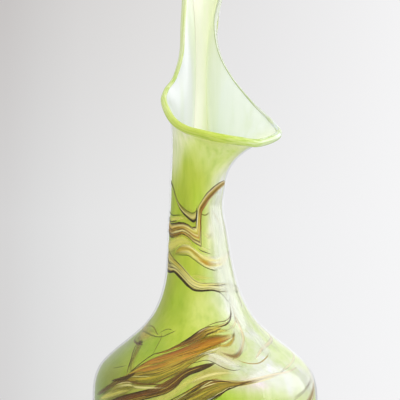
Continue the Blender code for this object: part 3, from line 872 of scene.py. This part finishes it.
# The wide trails: slot, rows, stations, and then level, waver, streak and ends as make_band takes them.
# A row of four gives the angle and height of the top edge, then of the low edge. A row of three gives the
# angle and height of the middle line, then the width. A station is a share of the length and a profile.
BANDS = {
    "neck_v_trail": ("brown", [
        (-240, 180, -240, 177), (-212, 188, -212, 185), (-180, 190, -180, 187.5), (-158, 187.5, -160, 186),
        (-147, 183, -150, 182), (-137, 178.5, -140, 177.5), (-124, 175, -127, 172),
        (-109, 172, -111, 167.7), (-98, 171, -96.5, 164.6), (-91, 172.5, -89.5, 167.5),
        (-88.5, 176.5, -87, 175.5)], [
        (0, soft(MOSS, MOSS)),
        (0.45, soft(MOSS, MOSS, OLIVE, MOSS)),
        (0.66, soft(MOSS, OLIVE, OLIVE, CREAM, BLACK, BLACK)),
        (1, soft(MOSS, STRAW, CREAM, GOLD, BLACK, BLACK))], 2, 0.06, 0.12),
    "neck_wave_trail": ("tan", [
        (-240, 160, -240, 155), (-212, 165.5, -212, 158), (-180, 166.5, -178, 157.5),
        (-158, 164, -156, 154.5), (-136, 165, -135, 155.5), (-120, 165, -121, 157),
        (-108, 164, -109, 155.3), (-99, 162.5, -97, 152), (-92.8, 162.5, -84, 149.5)], [
        (0, soft(BLACK, TAN, BROWN, AMBER, WOOD, AMBER, BROWN, OLIVE)),
        (0.45, soft(DARK, STRAW, AMBER, TAN, BROWN, AMBER, BROWN, WOOD, OLIVE, DARK)),
        (0.72, soft(BLACK, BROWN, CREAM, AMBER, TAN, BROWN, CREAM, WOOD, AMBER, DARK)),
        (1, soft(DARK, CREAM, STRAW, GOLD, CREAM, ORANGE, STRAW, BROWN, CREAM, DARK))],
        1, 0.07, 0.14, (10, 0)),
    "neck_amber_trail": ("amber", [
        (-92.8, 162.5, -84, 149.5), (-90.5, 166.5, -81.5, 158.5), (-88.5, 170.5, -79.7, 166),
        (-86, 174.3, -76.5, 171.3), (-79, 178, -69, 174.5), (-68, 183, -55, 179.5), (-46, 188, -34, 184),
        (-20, 190, -12, 186.5), (10, 188, 12, 185), (42, 181, 42, 178.5), (72, 172.5, 72, 171)], [
        (0, soft(DARK, CREAM, STRAW, GOLD, CREAM, ORANGE, STRAW, BROWN, CREAM, DARK)),
        (0.13, soft(BLACK, PALE, CREAM, GOLD, AMBER, STRAW, ORANGE, BROWN, BROWN)),
        (0.24, soft(OLIVE, CREAM, AMBER, BROWN, WOOD, ORANGE, WOOD)),
        (0.36, soft(DARK, BEIGE, TAN, WOOD, WOOD, BEIGE)),
        (0.5, soft(DARK, BEIGE, TAN, WOOD, TAN, PINK))], 1, 0.06, 0.12, (0, 10)),
    "neck_amber_arc": ("amber", [
        (-143, 145, -142, 144), (-134, 149.5, -134, 144.2), (-120, 151.7, -120, 144.6),
        (-108, 151.3, -108, 144.2), (-96, 148.7, -98, 141.5), (-82, 145.3, -85, 138.3),
        (-68, 144.5, -70, 136), (-50, 144.5, -52, 136), (-28, 146, -28, 140), (-5, 147.5, -5, 144.5)], [
        (0, soft(OLIVE, TAN, GOLD, TAN, OLIVE, OLIVE, edge=0.2)),
        (0.3, soft(CREAM, GOLD, TAN, STRAW, CREAM, STRAW, edge=0.2)),
        (0.48, soft(CREAM, CREAM, GOLD, AMBER, AMBER, CREAM, edge=0.2)),
        (0.62, soft(PALE, CREAM, PALE, BEIGE, CREAM, PALE, edge=0.2)),
        (0.9, soft(PALE, PALE, PINK, PINK, PALE, PALE, edge=0.12))], 1, 0.3, 0.14, (10, 18)),
    "neck_brown_trail": ("dark_brown", [
        (-225, 153, -225, 148), (-200, 151.5, -200, 141), (-180, 149, -178, 134), (-160, 145.5, -156, 133),
        (-146, 143, -143, 133.4), (-134, 140.5, -132, 132.3), (-124, 138, -121, 129.3),
        (-113, 134.3, -111, 126), (-102, 130.3, -100, 123.8), (-90, 128.3, -90, 123),
        (-76, 128.3, -76, 123.4), (-60, 128, -62, 122.3), (-42, 128, -42, 122), (-18, 126, -18, 121),
        (8, 125, 8, 122.5)], [
        (0, soft(BROWN, BROWN, TAN, CREAM, OLIVE, CREAM, STRAW, DARK, DARK, BLACK)),
        (0.36, soft(OLIVE, STRAW, TAN, STRAW, OLIVE, CREAM, DARK, CREAM, TAN, BLACK)),
        (0.6, soft(OLIVE, CREAM, STRAW, STRAW, CREAM, CREAM, OLIVE, CREAM, OLIVE, CREAM)),
        (0.78, haze(GREY, PALE, 0.3, GREY))], 1, 0.08, 0.14),
    "shoulder_loop_trail": ("olive", [
        (-205, 107, -205, 103), (-182, 105, -180, 98), (-168, 103.5, -168, 95), (-158, 101.5, -158, 91.5),
        (-148, 100.7, -148, 91.5), (-140, 99.5, -139, 94.5), (-130, 98.7, -130, 96),
        (-116, 100.5, -118, 98.5)], [
        (0, haze(GREY, GREY, 0.6, OLIVE)),
        (0.6, haze(OLIVE, TAN, 0.45, OLIVE)),
        (0.8, haze(OLIVE, STRAW, 0.1, OLIVE))]),
    "shoulder_smear": ("olive", [
        (-154, 93, -144, 93), (-151, 90.5, -141, 89), (-146.5, 87, -138, 86), (-141.5, 82.5, -135.5, 82),
        (-138.5, 79, -133.5, 79), (-136.5, 75.5, -131, 77)], [
        (0, [(0, UMBER, 0), (0.4, BROWN, 0.3), (0.6, TAN, 0.2), (1, OLIVE, 0)])], 1, 0.1, 0.16, (5, 4)),
    "shoulder_amber_trail": ("orange", [
        (-74, 95, -78, 89.5), (-84, 92.5, -89, 87.3), (-94, 90, -96, 83.5), (-102, 88, -103, 79),
        (-109, 85.7, -110, 74.5), (-117, 83, -117, 70.5), (-125, 81, -124.5, 69.5), (-131, 78.5, -131, 70),
        (-136, 75, -137, 69.5), (-143, 71, -144, 67)], [
        (0, soft(TAN, OLIVE, TAN, PALE, STRAW)),
        (0.3, soft(ORANGE, ORANGE, AMBER, TAN, GOLD, OLIVE, TAN)),
        (0.46, soft(ORANGE, AMBER, TAN, GOLD, TAN, GOLD, OLIVE, TAN)),
        (0.66, soft(WOOD, ORANGE, OLIVE, TAN, OLIVE, GOLD, OLIVE, BROWN)),
        (1, soft(DARK, BROWN, OLIVE, OLIVE, WOOD, BROWN, DARK))], 0, 0.22, 0.2),
    "shoulder_orange_band": ("orange", [
        (-58, 99.5, -60, 96.5), (-68, 99, -70, 94.5), (-82, 98.3, -83, 91.8), (-92, 96, -92, 89.6),
        (-101, 93, -101, 87.4), (-109, 90.2, -109, 85), (-117, 87.8, -117, 82.2),
        (-125, 84.6, -124.5, 80.5), (-130, 81.3, -130, 78), (-134, 78, -134, 75.5)], [
        (0, soft(STRAW, TAN, TAN, TAN, BEIGE)),
        (0.2, soft(OLIVE, WOOD, RUST, ORANGE, ORANGE, TAN)),
        (0.45, soft(WOOD, RUST, RUST, ORANGE, ORANGE, AMBER)),
        (0.75, soft(WOOD, RUST, ORANGE, ORANGE, WOOD, OLIVE)),
        (1, soft(DARK, BROWN, OLIVE, OLIVE))], 1, 0.14, 0.16, (22, 10)),
    "shoulder_brown_band": ("brown", [
        (-58, 106, -59, 104.5), (-70, 104, -70, 102), (-78, 103.3, -77, 100.3), (-85, 103, -85, 99),
        (-91, 101.6, -90, 97), (-97, 99, -95.5, 94.7), (-104, 95.3, -103, 92.6), (-109.5, 92.8, -110, 91),
        (-117, 89.5, -118, 88.4), (-124, 87.5, -125, 86.8)], [
        (0, soft(GREY, CREAM, GREY)),
        (0.2, soft(OLIVE, STRAW, GOLD, STRAW)),
        (0.38, soft(BROWN, WOOD, TAN, TAN)),
        (0.6, soft(DARK, UMBER, WOOD, UMBER, DARK)),
        (1, soft(BLACK, DARK, BLACK))], 2, 0.12, 0.18),
    "belly_brown_trail": ("dark_brown", [
        (-82, 83.8, -82, 82.8), (-91, 82.5, -89.5, 79.6), (-99, 80.2, -97, 76.6),
        (-104, 77.3, -101.5, 73.4), (-109, 73.7, -104.5, 69), (-114, 70.6, -110, 65),
        (-121, 67.2, -118, 62), (-129, 64.6, -127, 58.8), (-138, 61.5, -137, 55.5), (-148, 57.5, -148, 52),
        (-162, 54, -162, 50), (-178, 52, -178, 49.5)], [
        (0, soft(BLACK, DARK)),
        (0.12, soft(DARK, UMBER, DARK, BLACK)),
        (0.3, soft(BROWN, WOOD, UMBER, BROWN, DARK)),
        (0.46, soft(BLACK, DARK, UMBER, BLACK, BLACK)),
        (0.58, soft(BLACK, UMBER, BLACK, BLACK, DARK)),
        (0.8, soft(UMBER, DARK, RUST, DARK, DARK)),
        (1, soft(DARK, BLACK, DARK))], 2, 0.12, 0.2, (6, 10)),
    "belly_olive_trail": ("olive", [
        (-40, 77, -40, 75.5), (-54, 75, -56, 72.5), (-67, 73.3, -69, 69.9), (-76, 73.5, -77, 68.8),
        (-84, 74.8, -82, 65), (-90.5, 72.5, -87, 61.5), (-96, 68.5, -92, 58.5), (-103, 63.5, -99, 55),
        (-113, 57, -109, 49), (-126, 50, -123, 42), (-142, 43, -140, 37)], [
        (0, soft(PINK, PINK, edge=0.4)),
        (0.16, soft(PINK, BEIGE, UMBER, PINK, edge=0.3)),
        (0.27, soft(BROWN, WOOD, TAN, UMBER, edge=0.12)),
        (0.38, soft(BROWN, WOOD, OLIVE, TAN, OLIVE, DARK)),
        (0.52, soft(DARK, OLIVE, BROWN, GOLD, OLIVE, TAN, OLIVE, BLACK)),
        (1, soft(OLIVE, TAN, GOLD, BROWN, OLIVE, STRAW, DARK))], 1, 0.12, 0.2),
    "right_shoulder_trail": ("beige", [
        (-40, 122, 1.2), (-45, 113, 1.8), (-46.5, 105, 2.4), (-50, 98, 2.6), (-57, 92.5, 2.6),
        (-64, 88, 2.8), (-71, 84.8, 2)], [
        (0, soft(GREY, PALE, edge=0.3, opacity=0.5)),
        (0.5, soft(BEIGE, BEIGE, PINK, edge=0.3, opacity=0.7)),
        (1, soft(BEIGE, TAN, BEIGE, edge=0.25, opacity=0.8))]),
    "right_arc_trail": ("beige", [
        (14, 99, 2), (2, 95.5, 2.6), (-14, 93, 3), (-30, 91.2, 3), (-43, 89, 2.6), (-55, 84.5, 1.8)], [
        (0, soft(GREY, PINK, PINK, edge=0.3, opacity=0.6)),
        (1, soft(PINK, BEIGE, PINK, edge=0.3, opacity=0.6))]),
    "right_low_arc_trail": ("beige", [
        (14, 89, 1.6), (3, 84.5, 2), (-12, 82, 2.4), (-27, 79.7, 2.2), (-42, 76.5, 1.6)], [
        (0, soft(GREY, BEIGE, edge=0.3, opacity=0.6)),
        (1, soft(PALE, BEIGE, PALE, edge=0.3, opacity=0.6))]),
    "right_edge_trail": ("brown", [
        (20, 80, 3), (8, 73, 4.4), (-3, 66.5, 5.6), (-14, 60, 6.2), (-26, 53.5, 6), (-42, 47.5, 4.6),
        (-58, 44, 3)], [
        (0, soft(TAN, BROWN, TAN)),
        (0.4, soft(TAN, PALE, WOOD, TAN, BROWN, BEIGE, edge=0.15)),
        (1, soft(BROWN, TAN, WOOD, TAN, BROWN))]),
    "low_brown_trail": ("brown", [
        (-146, 27, 3), (-122, 28, 6), (-96, 33, 8), (-70, 38.5, 8), (-44, 39, 7), (-18, 43, 6), (8, 51, 4)],
        [
        (0, soft(DARK, BROWN, TAN, OLIVE)),
        (0.5, soft(DARK, BROWN, TAN, WOOD, GOLD, DARK)),
        (1, soft(BROWN, TAN, BEIGE, BROWN))]),
    "back_brown_trail": ("dark_brown", [
        (28, 98, 4), (46, 91, 8), (66, 83, 11), (88, 74, 12), (112, 64, 11), (138, 54, 8), (160, 47, 4)], [
        (0, soft(TAN, BROWN, TAN)),
        (0.4, soft(DARK, UMBER, BLACK, WOOD, TAN, BROWN, OLIVE)),
        (1, soft(OLIVE, BROWN, DARK, OLIVE))]),
    "back_amber_trail": ("orange", [
        (24, 63, 4), (42, 58, 9), (64, 50, 12), (88, 43, 12), (114, 37, 9), (140, 31, 4)], [
        (0, soft(GOLD, TAN, GOLD)),
        (0.5, soft(DARK, RUST, ORANGE, AMBER, GOLD, OLIVE)),
        (1, soft(OLIVE, GOLD, BROWN))]),
    "back_shoulder_trail": ("tan", [
        (62, 112, 2.5), (82, 105, 5), (104, 97, 7), (126, 88, 7), (148, 78, 6), (170, 70, 3)], [
        (0, soft(TAN, CREAM, TAN)),
        (0.5, soft(BROWN, CREAM, TAN, CREAM, DARK)),
        (1, soft(OLIVE, BROWN))]),
    "shoulder_thread": ("dark_brown", [
        (-47, 117, 0.7), (-49.5, 113, 0.8), (-52, 109.5, 1), (-57, 106, 1), (-64, 103.6, 1),
        (-72, 102.6, 1), (-80, 102.3, 0.9)], [
        (0, soft(GREY, OLIVE)),
        (0.4, soft(DARK, BLACK, DARK)),
        (1, soft(DARK, DARK))], 3),
}

# The thin threads by slot: colour, opacity, and rows of angle, height, width.
THREADS = {
    "dark_brown": [
        (MOSS, 1, [(-182, 171, 0.8), (-161, 169.5, 0.9), (-150, 168.7, 1), (-138, 169, 0.9),
         (-120, 169.3, 0.7)]),
        (MOSS, 0.9, [(-139, 144.6, 0.6), (-124, 144.7, 0.7), (-110, 144.5, 0.7), (-97, 141.6, 0.7),
         (-84, 138.3, 0.7), (-70, 136, 0.7), (-60, 135, 0.5)]),
        (DARK, 0.9, [(-93, 149.7, 0.5), (-86, 147.8, 0.7), (-76, 146.4, 0.7), (-66, 145.4, 0.5)]),
        (OLIVE, 1, [(-82, 171.3, 0.6), (-76, 169.6, 0.9), (-69, 169.4, 1), (-61, 171, 0.8)]),
        (BLACK, 1, [(-92, 163.2, 0.6), (-90.4, 167, 0.9), (-89.4, 171, 0.9), (-88.4, 174.5, 0.5)]),
        (BLACK, 1, [(-112, 126.5, 1.4), (-102, 124, 1.6), (-92, 123.4, 1.6), (-80, 123.6, 1.4),
         (-70, 123.6, 1.1), (-61, 122.2, 0.6), (-54.5, 119.6, 0.5), (-51, 116.8, 0.5), (-47.5, 117.2, 0.5),
         (-44, 119.5, 0.4)]),
        (BLACK, 1, [(-168, 134.4, 2.6), (-152, 133.8, 1.9), (-142, 134.4, 1.6), (-132, 132.5, 2),
         (-121, 129.6, 2), (-111, 126.3, 1.9), (-103, 124.2, 1.4)]),
        (DARK, 0.8, [(-190, 146, 1.6), (-176, 141.6, 2), (-160, 139, 1.6), (-147, 138.6, 0.8)]),
        (BLACK, 0.9, [(-109, 93.5, 0.7), (-104, 95.5, 0.9), (-96, 99.4, 0.8), (-90, 101.8, 0.6)]),
        (DARK, 1, [(-118, 88.7, 0.8), (-125, 87, 1), (-130, 82.5, 1), (-133.5, 77.5, 1.2),
         (-136, 74, 0.8)]),
        (MOSS, 1, [(-152, 76.8, 0.6), (-146, 78.2, 0.9), (-140.5, 79.7, 0.6)]),
        (DARK, 0.95, [(-130, 76.5, 2), (-135, 73.3, 4), (-140, 71.6, 3), (-148, 69.5, 1.2)]),
        (DARK, 0.9, [(-138, 73.5, 0.7), (-143, 70.5, 1), (-149, 66.5, 0.9), (-155, 62.5, 1.1),
         (-160, 59, 0.7)]),
        (BROWN, 0.9, [(-136, 71.3, 0.8), (-128, 70.4, 1.2), (-120, 70.2, 1.1), (-112, 70.6, 0.7)]),
        (DARK, 0.9, [(-100, 82.3, 0.4), (-95, 83.4, 0.6), (-88, 84.7, 0.6), (-83.5, 83.4, 0.6),
         (-78, 80.5, 0.6), (-73, 79, 0.6), (-68, 79.4, 0.4)]),
        (DARK, 0.8, [(-94, 70, 0.8), (-88, 73.4, 1.2), (-80, 72.8, 0.8), (-72, 71.6, 0.5)]),
        (BLACK, 0.9, [(-66, 72, 0.5), (-73, 69.9, 0.9), (-79, 67.4, 0.9), (-85, 63.2, 0.8),
         (-91, 59.5, 0.7)]),
    ],
    "olive": [
        (OLIVE, 1, [(-167, 100.5, 0.5), (-156, 101.3, 0.9), (-147, 100.6, 0.9), (-138, 98.2, 0.7),
         (-133, 97, 0.4)]),
        (MOSS, 1, [(-171, 97.8, 0.5), (-154, 97.6, 0.8), (-140, 96.5, 0.9), (-129, 96.4, 0.9),
         (-122, 98.6, 0.8), (-116.5, 100.4, 0.5)]),
        (MOSS, 0.9, [(-134.5, 98, 0.4), (-131, 99.8, 0.7), (-126, 100.8, 0.7), (-120.5, 100.2, 0.4)]),
        (BROWN, 0.5, [(-168, 96.5, 0.9), (-162, 93, 1.4), (-152, 91.4, 1.8), (-141, 91.2, 0.8)]),
        (BROWN, 0.5, [(-152, 91.5, 0.8), (-146, 87.3, 1), (-140.6, 82.5, 1), (-137, 76.5, 1),
         (-136, 73, 0.7)]),
        (OLIVE, 0.9, [(-131, 98.5, 0.4), (-128, 95, 0.6), (-127, 91, 0.6), (-126, 87, 0.4)]),
    ],
    "brown": [
        (BROWN, 0.9, [(-52, 110.5, 0.5), (-56, 107.6, 0.7), (-64, 105.6, 0.7), (-74, 105, 0.7),
         (-86, 103, 0.5)]),
        (GREY, 0.9, [(-56, 172.5, 0.6), (-46, 169, 0.8), (-38, 165, 0.7), (-30, 162, 0.5)]),
        (GREY, 0.9, [(-14, 167, 0.5), (-9, 160, 0.9), (-6, 152, 0.9), (-2, 144, 0.7), (2, 136, 0.5)]),
        (GREY, 0.9, [(-24, 122, 0.5), (-21.5, 118.5, 0.9), (-22, 115, 0.8), (-27, 112, 0.5)]),
        (GREY, 0.9, [(-49, 126, 0.4), (-50.3, 121.5, 0.8), (-50.5, 118, 0.6)]),
        (GREY, 0.7, [(12, 101, 0.6), (7, 98, 0.8), (3, 95.5, 0.8), (-2, 93, 0.5)]),
        (BROWN, 0.7, [(8, 80, 0.5), (2, 75, 0.7), (-7, 70, 0.7), (-17, 67.2, 0.7), (-28, 63.3, 0.6),
         (-38, 60, 0.4)]),
        (BROWN, 0.5, [(6, 73, 0.5), (-7, 68.2, 0.6), (-18, 65.8, 0.6), (-30, 61.6, 0.5), (-40, 58, 0.4)]),
        (TAN, 0.8, [(-68, 84.4, 0.6), (-62, 82.4, 1), (-55, 82, 1), (-47, 84, 0.9), (-40, 86.5, 0.5)]),
        (PINK, 0.8, [(-70, 72.8, 1), (-60, 74, 1.4), (-50, 75.2, 1.4), (-38, 75.6, 1.2), (-24, 77, 0.8)]),
    ],
}

# The soft veils, in the same way.
VEILS = {
    # The milky veils on the right side are real white glass with a painted reflection and highlight of the
    # window to the right on it.
    "opal": [
        (MILK, 0.4, [(-26, 188, 5), (-38, 178, 12), (-40, 165, 19), (-38, 150, 22), (-38, 136, 23),
         (-40, 124, 22), (-42, 113, 16), (-38, 103, 12), (-36, 94, 10), (-44, 84, 8)]),
        (MILK, 0.25, [(-70, 81, 5), (-63, 77.5, 10), (-54, 73, 15), (-42, 70, 18), (-28, 69, 19),
         (-12, 68, 16), (4, 67, 10)]),
        (MILK, 0.3, [(-60, 104, 4), (-56, 97, 9), (-60, 91, 9), (-68, 87, 6)]),
        (MILK, 0.2, [(-16, 116, 5), (-14, 104, 10), (-18, 96, 10), (-28, 86, 8)]),
    ],
    "lime": [
        (STRAW, 0.7, [(-178, 168.5, 3), (-155, 166.5, 4), (-138, 167, 4), (-120, 167.3, 3.4),
         (-106, 166.5, 2.6)]),
        (STRAW, 0.9, [(-196, 146, 5), (-176, 148.5, 8), (-150, 150.5, 9), (-130, 153, 8), (-112, 153, 6),
         (-96, 149.5, 3)]),
        (CREAM, 0.8, [(-90, 151.5, 0.8), (-84, 149.6, 1.8), (-76, 148.3, 2.2), (-66, 148, 1.4)]),
        (CREAM, 0.4, [(-84, 160, 3), (-76, 158, 4), (-68, 156, 4), (-60, 158, 2)]),
        (STRAW, 0.5, [(-112, 131, 2), (-98, 132, 4), (-82, 131, 3.6), (-66, 131, 2)]),
        (STRAW, 0.7, [(-62, 99.6, 2), (-70, 100.4, 3.6), (-80, 100.2, 2.6), (-88, 98.2, 1.4)]),
        (PALE, 0.55, [(-66, 80.5, 2), (-74, 83.5, 5), (-81, 87, 5.4), (-88, 88.4, 3.4), (-95, 87, 1.4)]),
        (STRAW, 0.4, [(-86, 79, 2), (-94, 75.4, 4), (-101, 70.6, 5.6), (-108, 64.6, 6), (-118, 59, 4.6),
         (-130, 55, 2)]),
        (CREAM, 0.6, [(-72, 77.6, 2), (-82, 77.6, 3), (-91, 75.4, 3), (-98, 71.6, 2)]),
        (CREAM, 0.8, [(-108, 68.8, 0.8), (-117, 68.3, 1.8), (-126, 68, 2.2), (-134, 68.6, 2.2),
         (-142, 66.4, 1.4)]),
        (STRAW, 0.6, [(-130, 66, 2), (-140, 63.6, 5), (-150, 60, 5), (-162, 55.6, 3)]),
        (PALE, 0.6, [(-96, 58, 1.4), (-90, 61, 1.4), (-84, 64.5, 1)]),
    ],
    "brown": [
        (WOOD, 0.9, [(-80, 100, 1.5), (-86, 98.6, 4), (-92, 96.8, 4.5), (-101, 93.6, 3),
         (-109, 90.8, 1.5)]),
        (GOLD, 0.6, [(-62, 101, 2), (-72, 100.2, 4), (-80, 98.8, 4), (-87, 96.8, 2)]),
        (OLIVE, 0.7, [(-96, 82, 3), (-104, 78.6, 6), (-112, 74.8, 7), (-120, 71.4, 7), (-128, 69, 6),
         (-138, 65.4, 5), (-150, 60.6, 3)]),
        (BROWN, 0.7, [(-134, 72, 3), (-143, 68.6, 5), (-153, 63.4, 5), (-166, 58, 3)]),
        (BROWN, 0.25, [(-162, 95.5, 2), (-154, 93.4, 5), (-146, 91, 5), (-141, 86, 4), (-138, 79, 3)]),
        (OLIVE, 0.6, [(-82, 66.5, 2), (-92, 62.5, 5), (-102, 57, 5), (-114, 50, 3)]),
    ],
    "beige": [
        (WOOD, 0.8, [(-78, 89.4, 1), (-73, 87.4, 4), (-68, 86.6, 5), (-63, 88.6, 3), (-58, 92, 1.4)]),
        (TAN, 0.8, [(-84, 93, 1.4), (-77, 92.4, 4), (-70, 92.6, 4.4), (-63, 95.6, 3), (-57, 100, 1.4)]),
        (UMBER, 0.6, [(-77, 70.2, 1), (-72, 71, 2), (-66, 72.2, 2), (-58, 73.6, 0.8)]),
        (BEIGE, 0.5, [(-66, 100.5, 1), (-58, 102, 2.4), (-50, 105, 2.6), (-46, 111, 1.4)]),
        (RUST, 0.7, [(-128, 71.4, 0.8), (-133, 70.6, 1.8), (-139, 68.6, 0.8)]),
    ],
}


# The fine strands scattered in the wide trails, by slot: the trail, how many, their colours and a seed.
STRANDS = {
    "orange": [
        ("shoulder_amber_trail", 26, (BROWN, OLIVE, CREAM, TAN, DARK, GOLD, WOOD), 11),
        ("shoulder_orange_band", 16, (BROWN, RUST, AMBER, WOOD, TAN, ORANGE), 12),
        ("back_amber_trail", 24, (BROWN, RUST, CREAM, DARK, GOLD, OLIVE), 18),
    ],
    "brown": [
        ("shoulder_brown_band", 12, (DARK, WOOD, AMBER, BLACK, BEIGE), 13),
        ("low_brown_trail", 24, (DARK, WOOD, GOLD, CREAM, OLIVE, BROWN), 21),
    ],
    "dark_brown": [
        ("belly_brown_trail", 26, (BLACK, WOOD, UMBER, RUST, DARK, TAN), 14),
        ("back_brown_trail", 26, (BLACK, WOOD, CREAM, OLIVE, DARK, TAN), 19),
    ],
    "olive": [("belly_olive_trail", 26, (DARK, OLIVE, GOLD, CREAM, BROWN, AMBER), 15)],
    "amber": [("neck_wave_trail", 10, (BROWN, CREAM, DARK, AMBER), 16)],
    "tan": [
        ("neck_brown_trail", 10, (OLIVE, CREAM, BROWN, STRAW), 17),
        ("back_shoulder_trail", 14, (OLIVE, CREAM, BROWN, STRAW), 20),
    ],
}


def strands_in(name, count, tones, seed):
    """Fine strands drawn out along a wide trail, scattered over its width and length, as in THREADS."""
    pick = random.Random(seed)
    edges = edges_of(BANDS[name][1])
    lines = []
    for _ in range(count):
        begin = pick.uniform(0.02, 0.75)
        way = np.linspace(begin, min(begin + pick.uniform(0.15, 0.45), 0.99), 6)
        row = edges[(way * (len(edges) - 1)).astype(int)]
        share = pick.uniform(-0.03, 1.03) + pick.uniform(-0.15, 0.15) * np.linspace(0, 1, len(way))
        angle = row[:, 0] + (row[:, 2] - row[:, 0]) * share
        height = row[:, 1] + (row[:, 3] - row[:, 1]) * share
        width = pick.uniform(0.35, 1.0) + 0 * way
        tone = pick.choice(tones)
        lines.append((tone, pick.uniform(0.5, 0.95), np.stack([angle, height, width], 1)))
    return lines


# ---------------------------------------------------------------- stage

# In metres. The floor turns from pale to clear between the two distances of FLOOR_FADE.
FLOOR_SIDES = 96
FLOOR_RADIUS = 1.5
FLOOR_GAP = 0.0002
FLOOR_FADE = (0.14, 0.42)

AROUND_COLOUR = (0.98, 0.99, 1.0, 1.0)
AROUND_LIGHT = 0.72
MIRRORED_LIGHT = 0.6
LIGHT_TARGET = (0.0, 0.0, 0.15)

CAMERA_DISTANCE = 1.6
CAMERA_RISE = math.radians(3.0)
CAMERA_TARGET = (-0.0031, 0.0, 0.1777)
CAMERA_LENS = 232.0
CAMERA_SENSOR = 36.0


def floor_face(tree):
    """Pale, and clear further out, where the backdrop takes over."""
    place = add(tree, "TexCoord").outputs["Object"]
    distance = add(tree, "VectorMath", {"operation": "LENGTH"}, n0=place).outputs["Value"]
    pale = add(tree, "BsdfDiffuse", Color=(0.82, 0.82, 0.82, 1.0))
    gone = add(tree, "BsdfTransparent")
    fade = remap(tree, distance, *FLOOR_FADE)
    return add(tree, "MixShader", n0=fade, n1=pale.outputs[0], n2=gone.outputs[0])


def make_floor():
    """A plain pale floor that runs out into the backdrop."""
    mesh = bpy.data.meshes.new("floor")
    turns = np.arange(FLOOR_SIDES) * math.tau / FLOOR_SIDES
    rim = [(FLOOR_RADIUS * math.cos(a), FLOOR_RADIUS * math.sin(a), -FLOOR_GAP) for a in turns]
    mesh.from_pydata(rim, [], [tuple(range(FLOOR_SIDES))])
    mesh.materials.append(new_material("floor", floor_face))
    linked("floor", mesh)


def make_world():
    """A pale backdrop, a little darker to the left, and an even soft light from all round."""
    world = bpy.data.worlds.new("backdrop")
    bpy.context.scene.world = world
    world.use_nodes = True
    tree = world.node_tree
    tree.nodes.clear()
    way = add(tree, "SeparateXYZ", n0=add(tree, "TexCoord").outputs["Generated"]).outputs
    sideways = remap(tree, way[0], -0.08, 0.08, "LINEAR")
    tone = ramp(tree, sideways, [
        (0.03, srgb(214, 213, 213), 1), (0.11, srgb(221, 221, 221), 1), (0.21, srgb(228, 228, 228), 1),
        (0.38, srgb(233, 233, 233), 1), (0.62, srgb(237, 237, 238), 1), (0.97, srgb(245, 245, 246), 1),
    ])
    upward = remap(tree, way[2], -0.06, 0.03, "LINEAR")
    corner = math_node(tree, "MULTIPLY", upward, math_node(tree, "SUBTRACT", 1.1, sideways))
    shade = ramp(tree, corner, [(0.0, (1.0, 1.0, 1.0), 1), (1.0, (0.86, 0.84, 0.83), 1)])
    backdrop = mix_colour(tree, 1.0, tone[0], shade[0], "MULTIPLY")
    seen = add(tree, "Background", Color=backdrop, Strength=1.0)
    around = add(tree, "Background", Color=AROUND_COLOUR, Strength=AROUND_LIGHT)
    mirrored = add(tree, "Background", Color=AROUND_COLOUR, Strength=MIRRORED_LIGHT)
    rays = add(tree, "LightPath").outputs
    lit = add(tree, "MixShader", n0=rays["Is Glossy Ray"], n1=around.outputs[0], n2=mirrored.outputs[0])
    mixed = add(tree, "MixShader", n0=rays["Is Camera Ray"], n1=lit.outputs[0], n2=seen.outputs[0])
    add(tree, "OutputWorld", Surface=mixed.outputs[0])


def area_light(name, place, target, size, strength, colour=(1, 1, 1), diffuse=True, glossy=True):
    """A rectangular soft light; strength is the light leaving each part of its face."""
    light = bpy.data.lights.new(name, "AREA")
    light.shape = "RECTANGLE"
    light.size, light.size_y = size
    light.energy = strength * math.pi * size[0] * size[1]
    light.color = colour
    item = linked(name, light)
    item.location = place
    item.rotation_euler = (Vector(target) - Vector(place)).to_track_quat("-Z", "Y").to_euler()
    item.visible_camera = False
    item.visible_diffuse = diffuse
    item.visible_glossy = glossy
    item.visible_transmission = glossy


def make_lights():
    """A tall window to the right, seen in the gloss, and soft light from the right and above."""
    area_light("window", (1.05, 0.05, 0.81), (0.0, 0.05, 0.81), (1.3, 1.4), 3.4, diffuse=False)
    area_light("far_window", (0.55, 1.3, 0.75), (0.0, 0.1, 0.75), (1.0, 1.45), 0.6, diffuse=False)
    area_light("key", (1.1, -0.7, 0.7), LIGHT_TARGET, (0.9, 0.9), 2.3, (1, 0.985, 0.95), glossy=False)
    area_light("fill", (-0.8, -1.1, 0.7), LIGHT_TARGET, (0.9, 0.9), 0.95, glossy=False)
    area_light("top", (0.1, -0.3, 1.6), LIGHT_TARGET, (1.2, 1.2), 1.2, glossy=False)


def make_camera():
    """The camera at the photograph's angle: a long lens, a little above the vase's middle."""
    target = Vector(CAMERA_TARGET)
    back_and_up = Vector((0.0, -math.cos(CAMERA_RISE), math.sin(CAMERA_RISE)))
    camera = linked("camera", bpy.data.cameras.new("camera"))
    camera.data.lens = CAMERA_LENS
    camera.data.sensor_width = CAMERA_SENSOR
    camera.location = target + back_and_up * CAMERA_DISTANCE
    camera.rotation_euler = (target - camera.location).to_track_quat("-Z", "Y").to_euler()
    bpy.context.scene.camera = camera


make_camera()
make_casing()
make_lime()
make_opal()
make_lip()
for number, (band_name, band) in enumerate(BANDS.items()):
    make_band(number, band_name, *band)
make_threads("threads", THREADS, level=4, softness=0.6, streak=0.1)
strands = {}
for strand_slot, strand_groups in STRANDS.items():
    strands[strand_slot] = [line for group in strand_groups for line in strands_in(*group)]
make_threads("strands", strands, level=3, softness=0.8, streak=0.1)
make_threads("veils", VEILS, level=2.5, softness=1.0, streak=0.12, end=14.0)
make_floor()
make_world()
make_lights()
bpy.context.scene.view_settings.view_transform = "Standard"
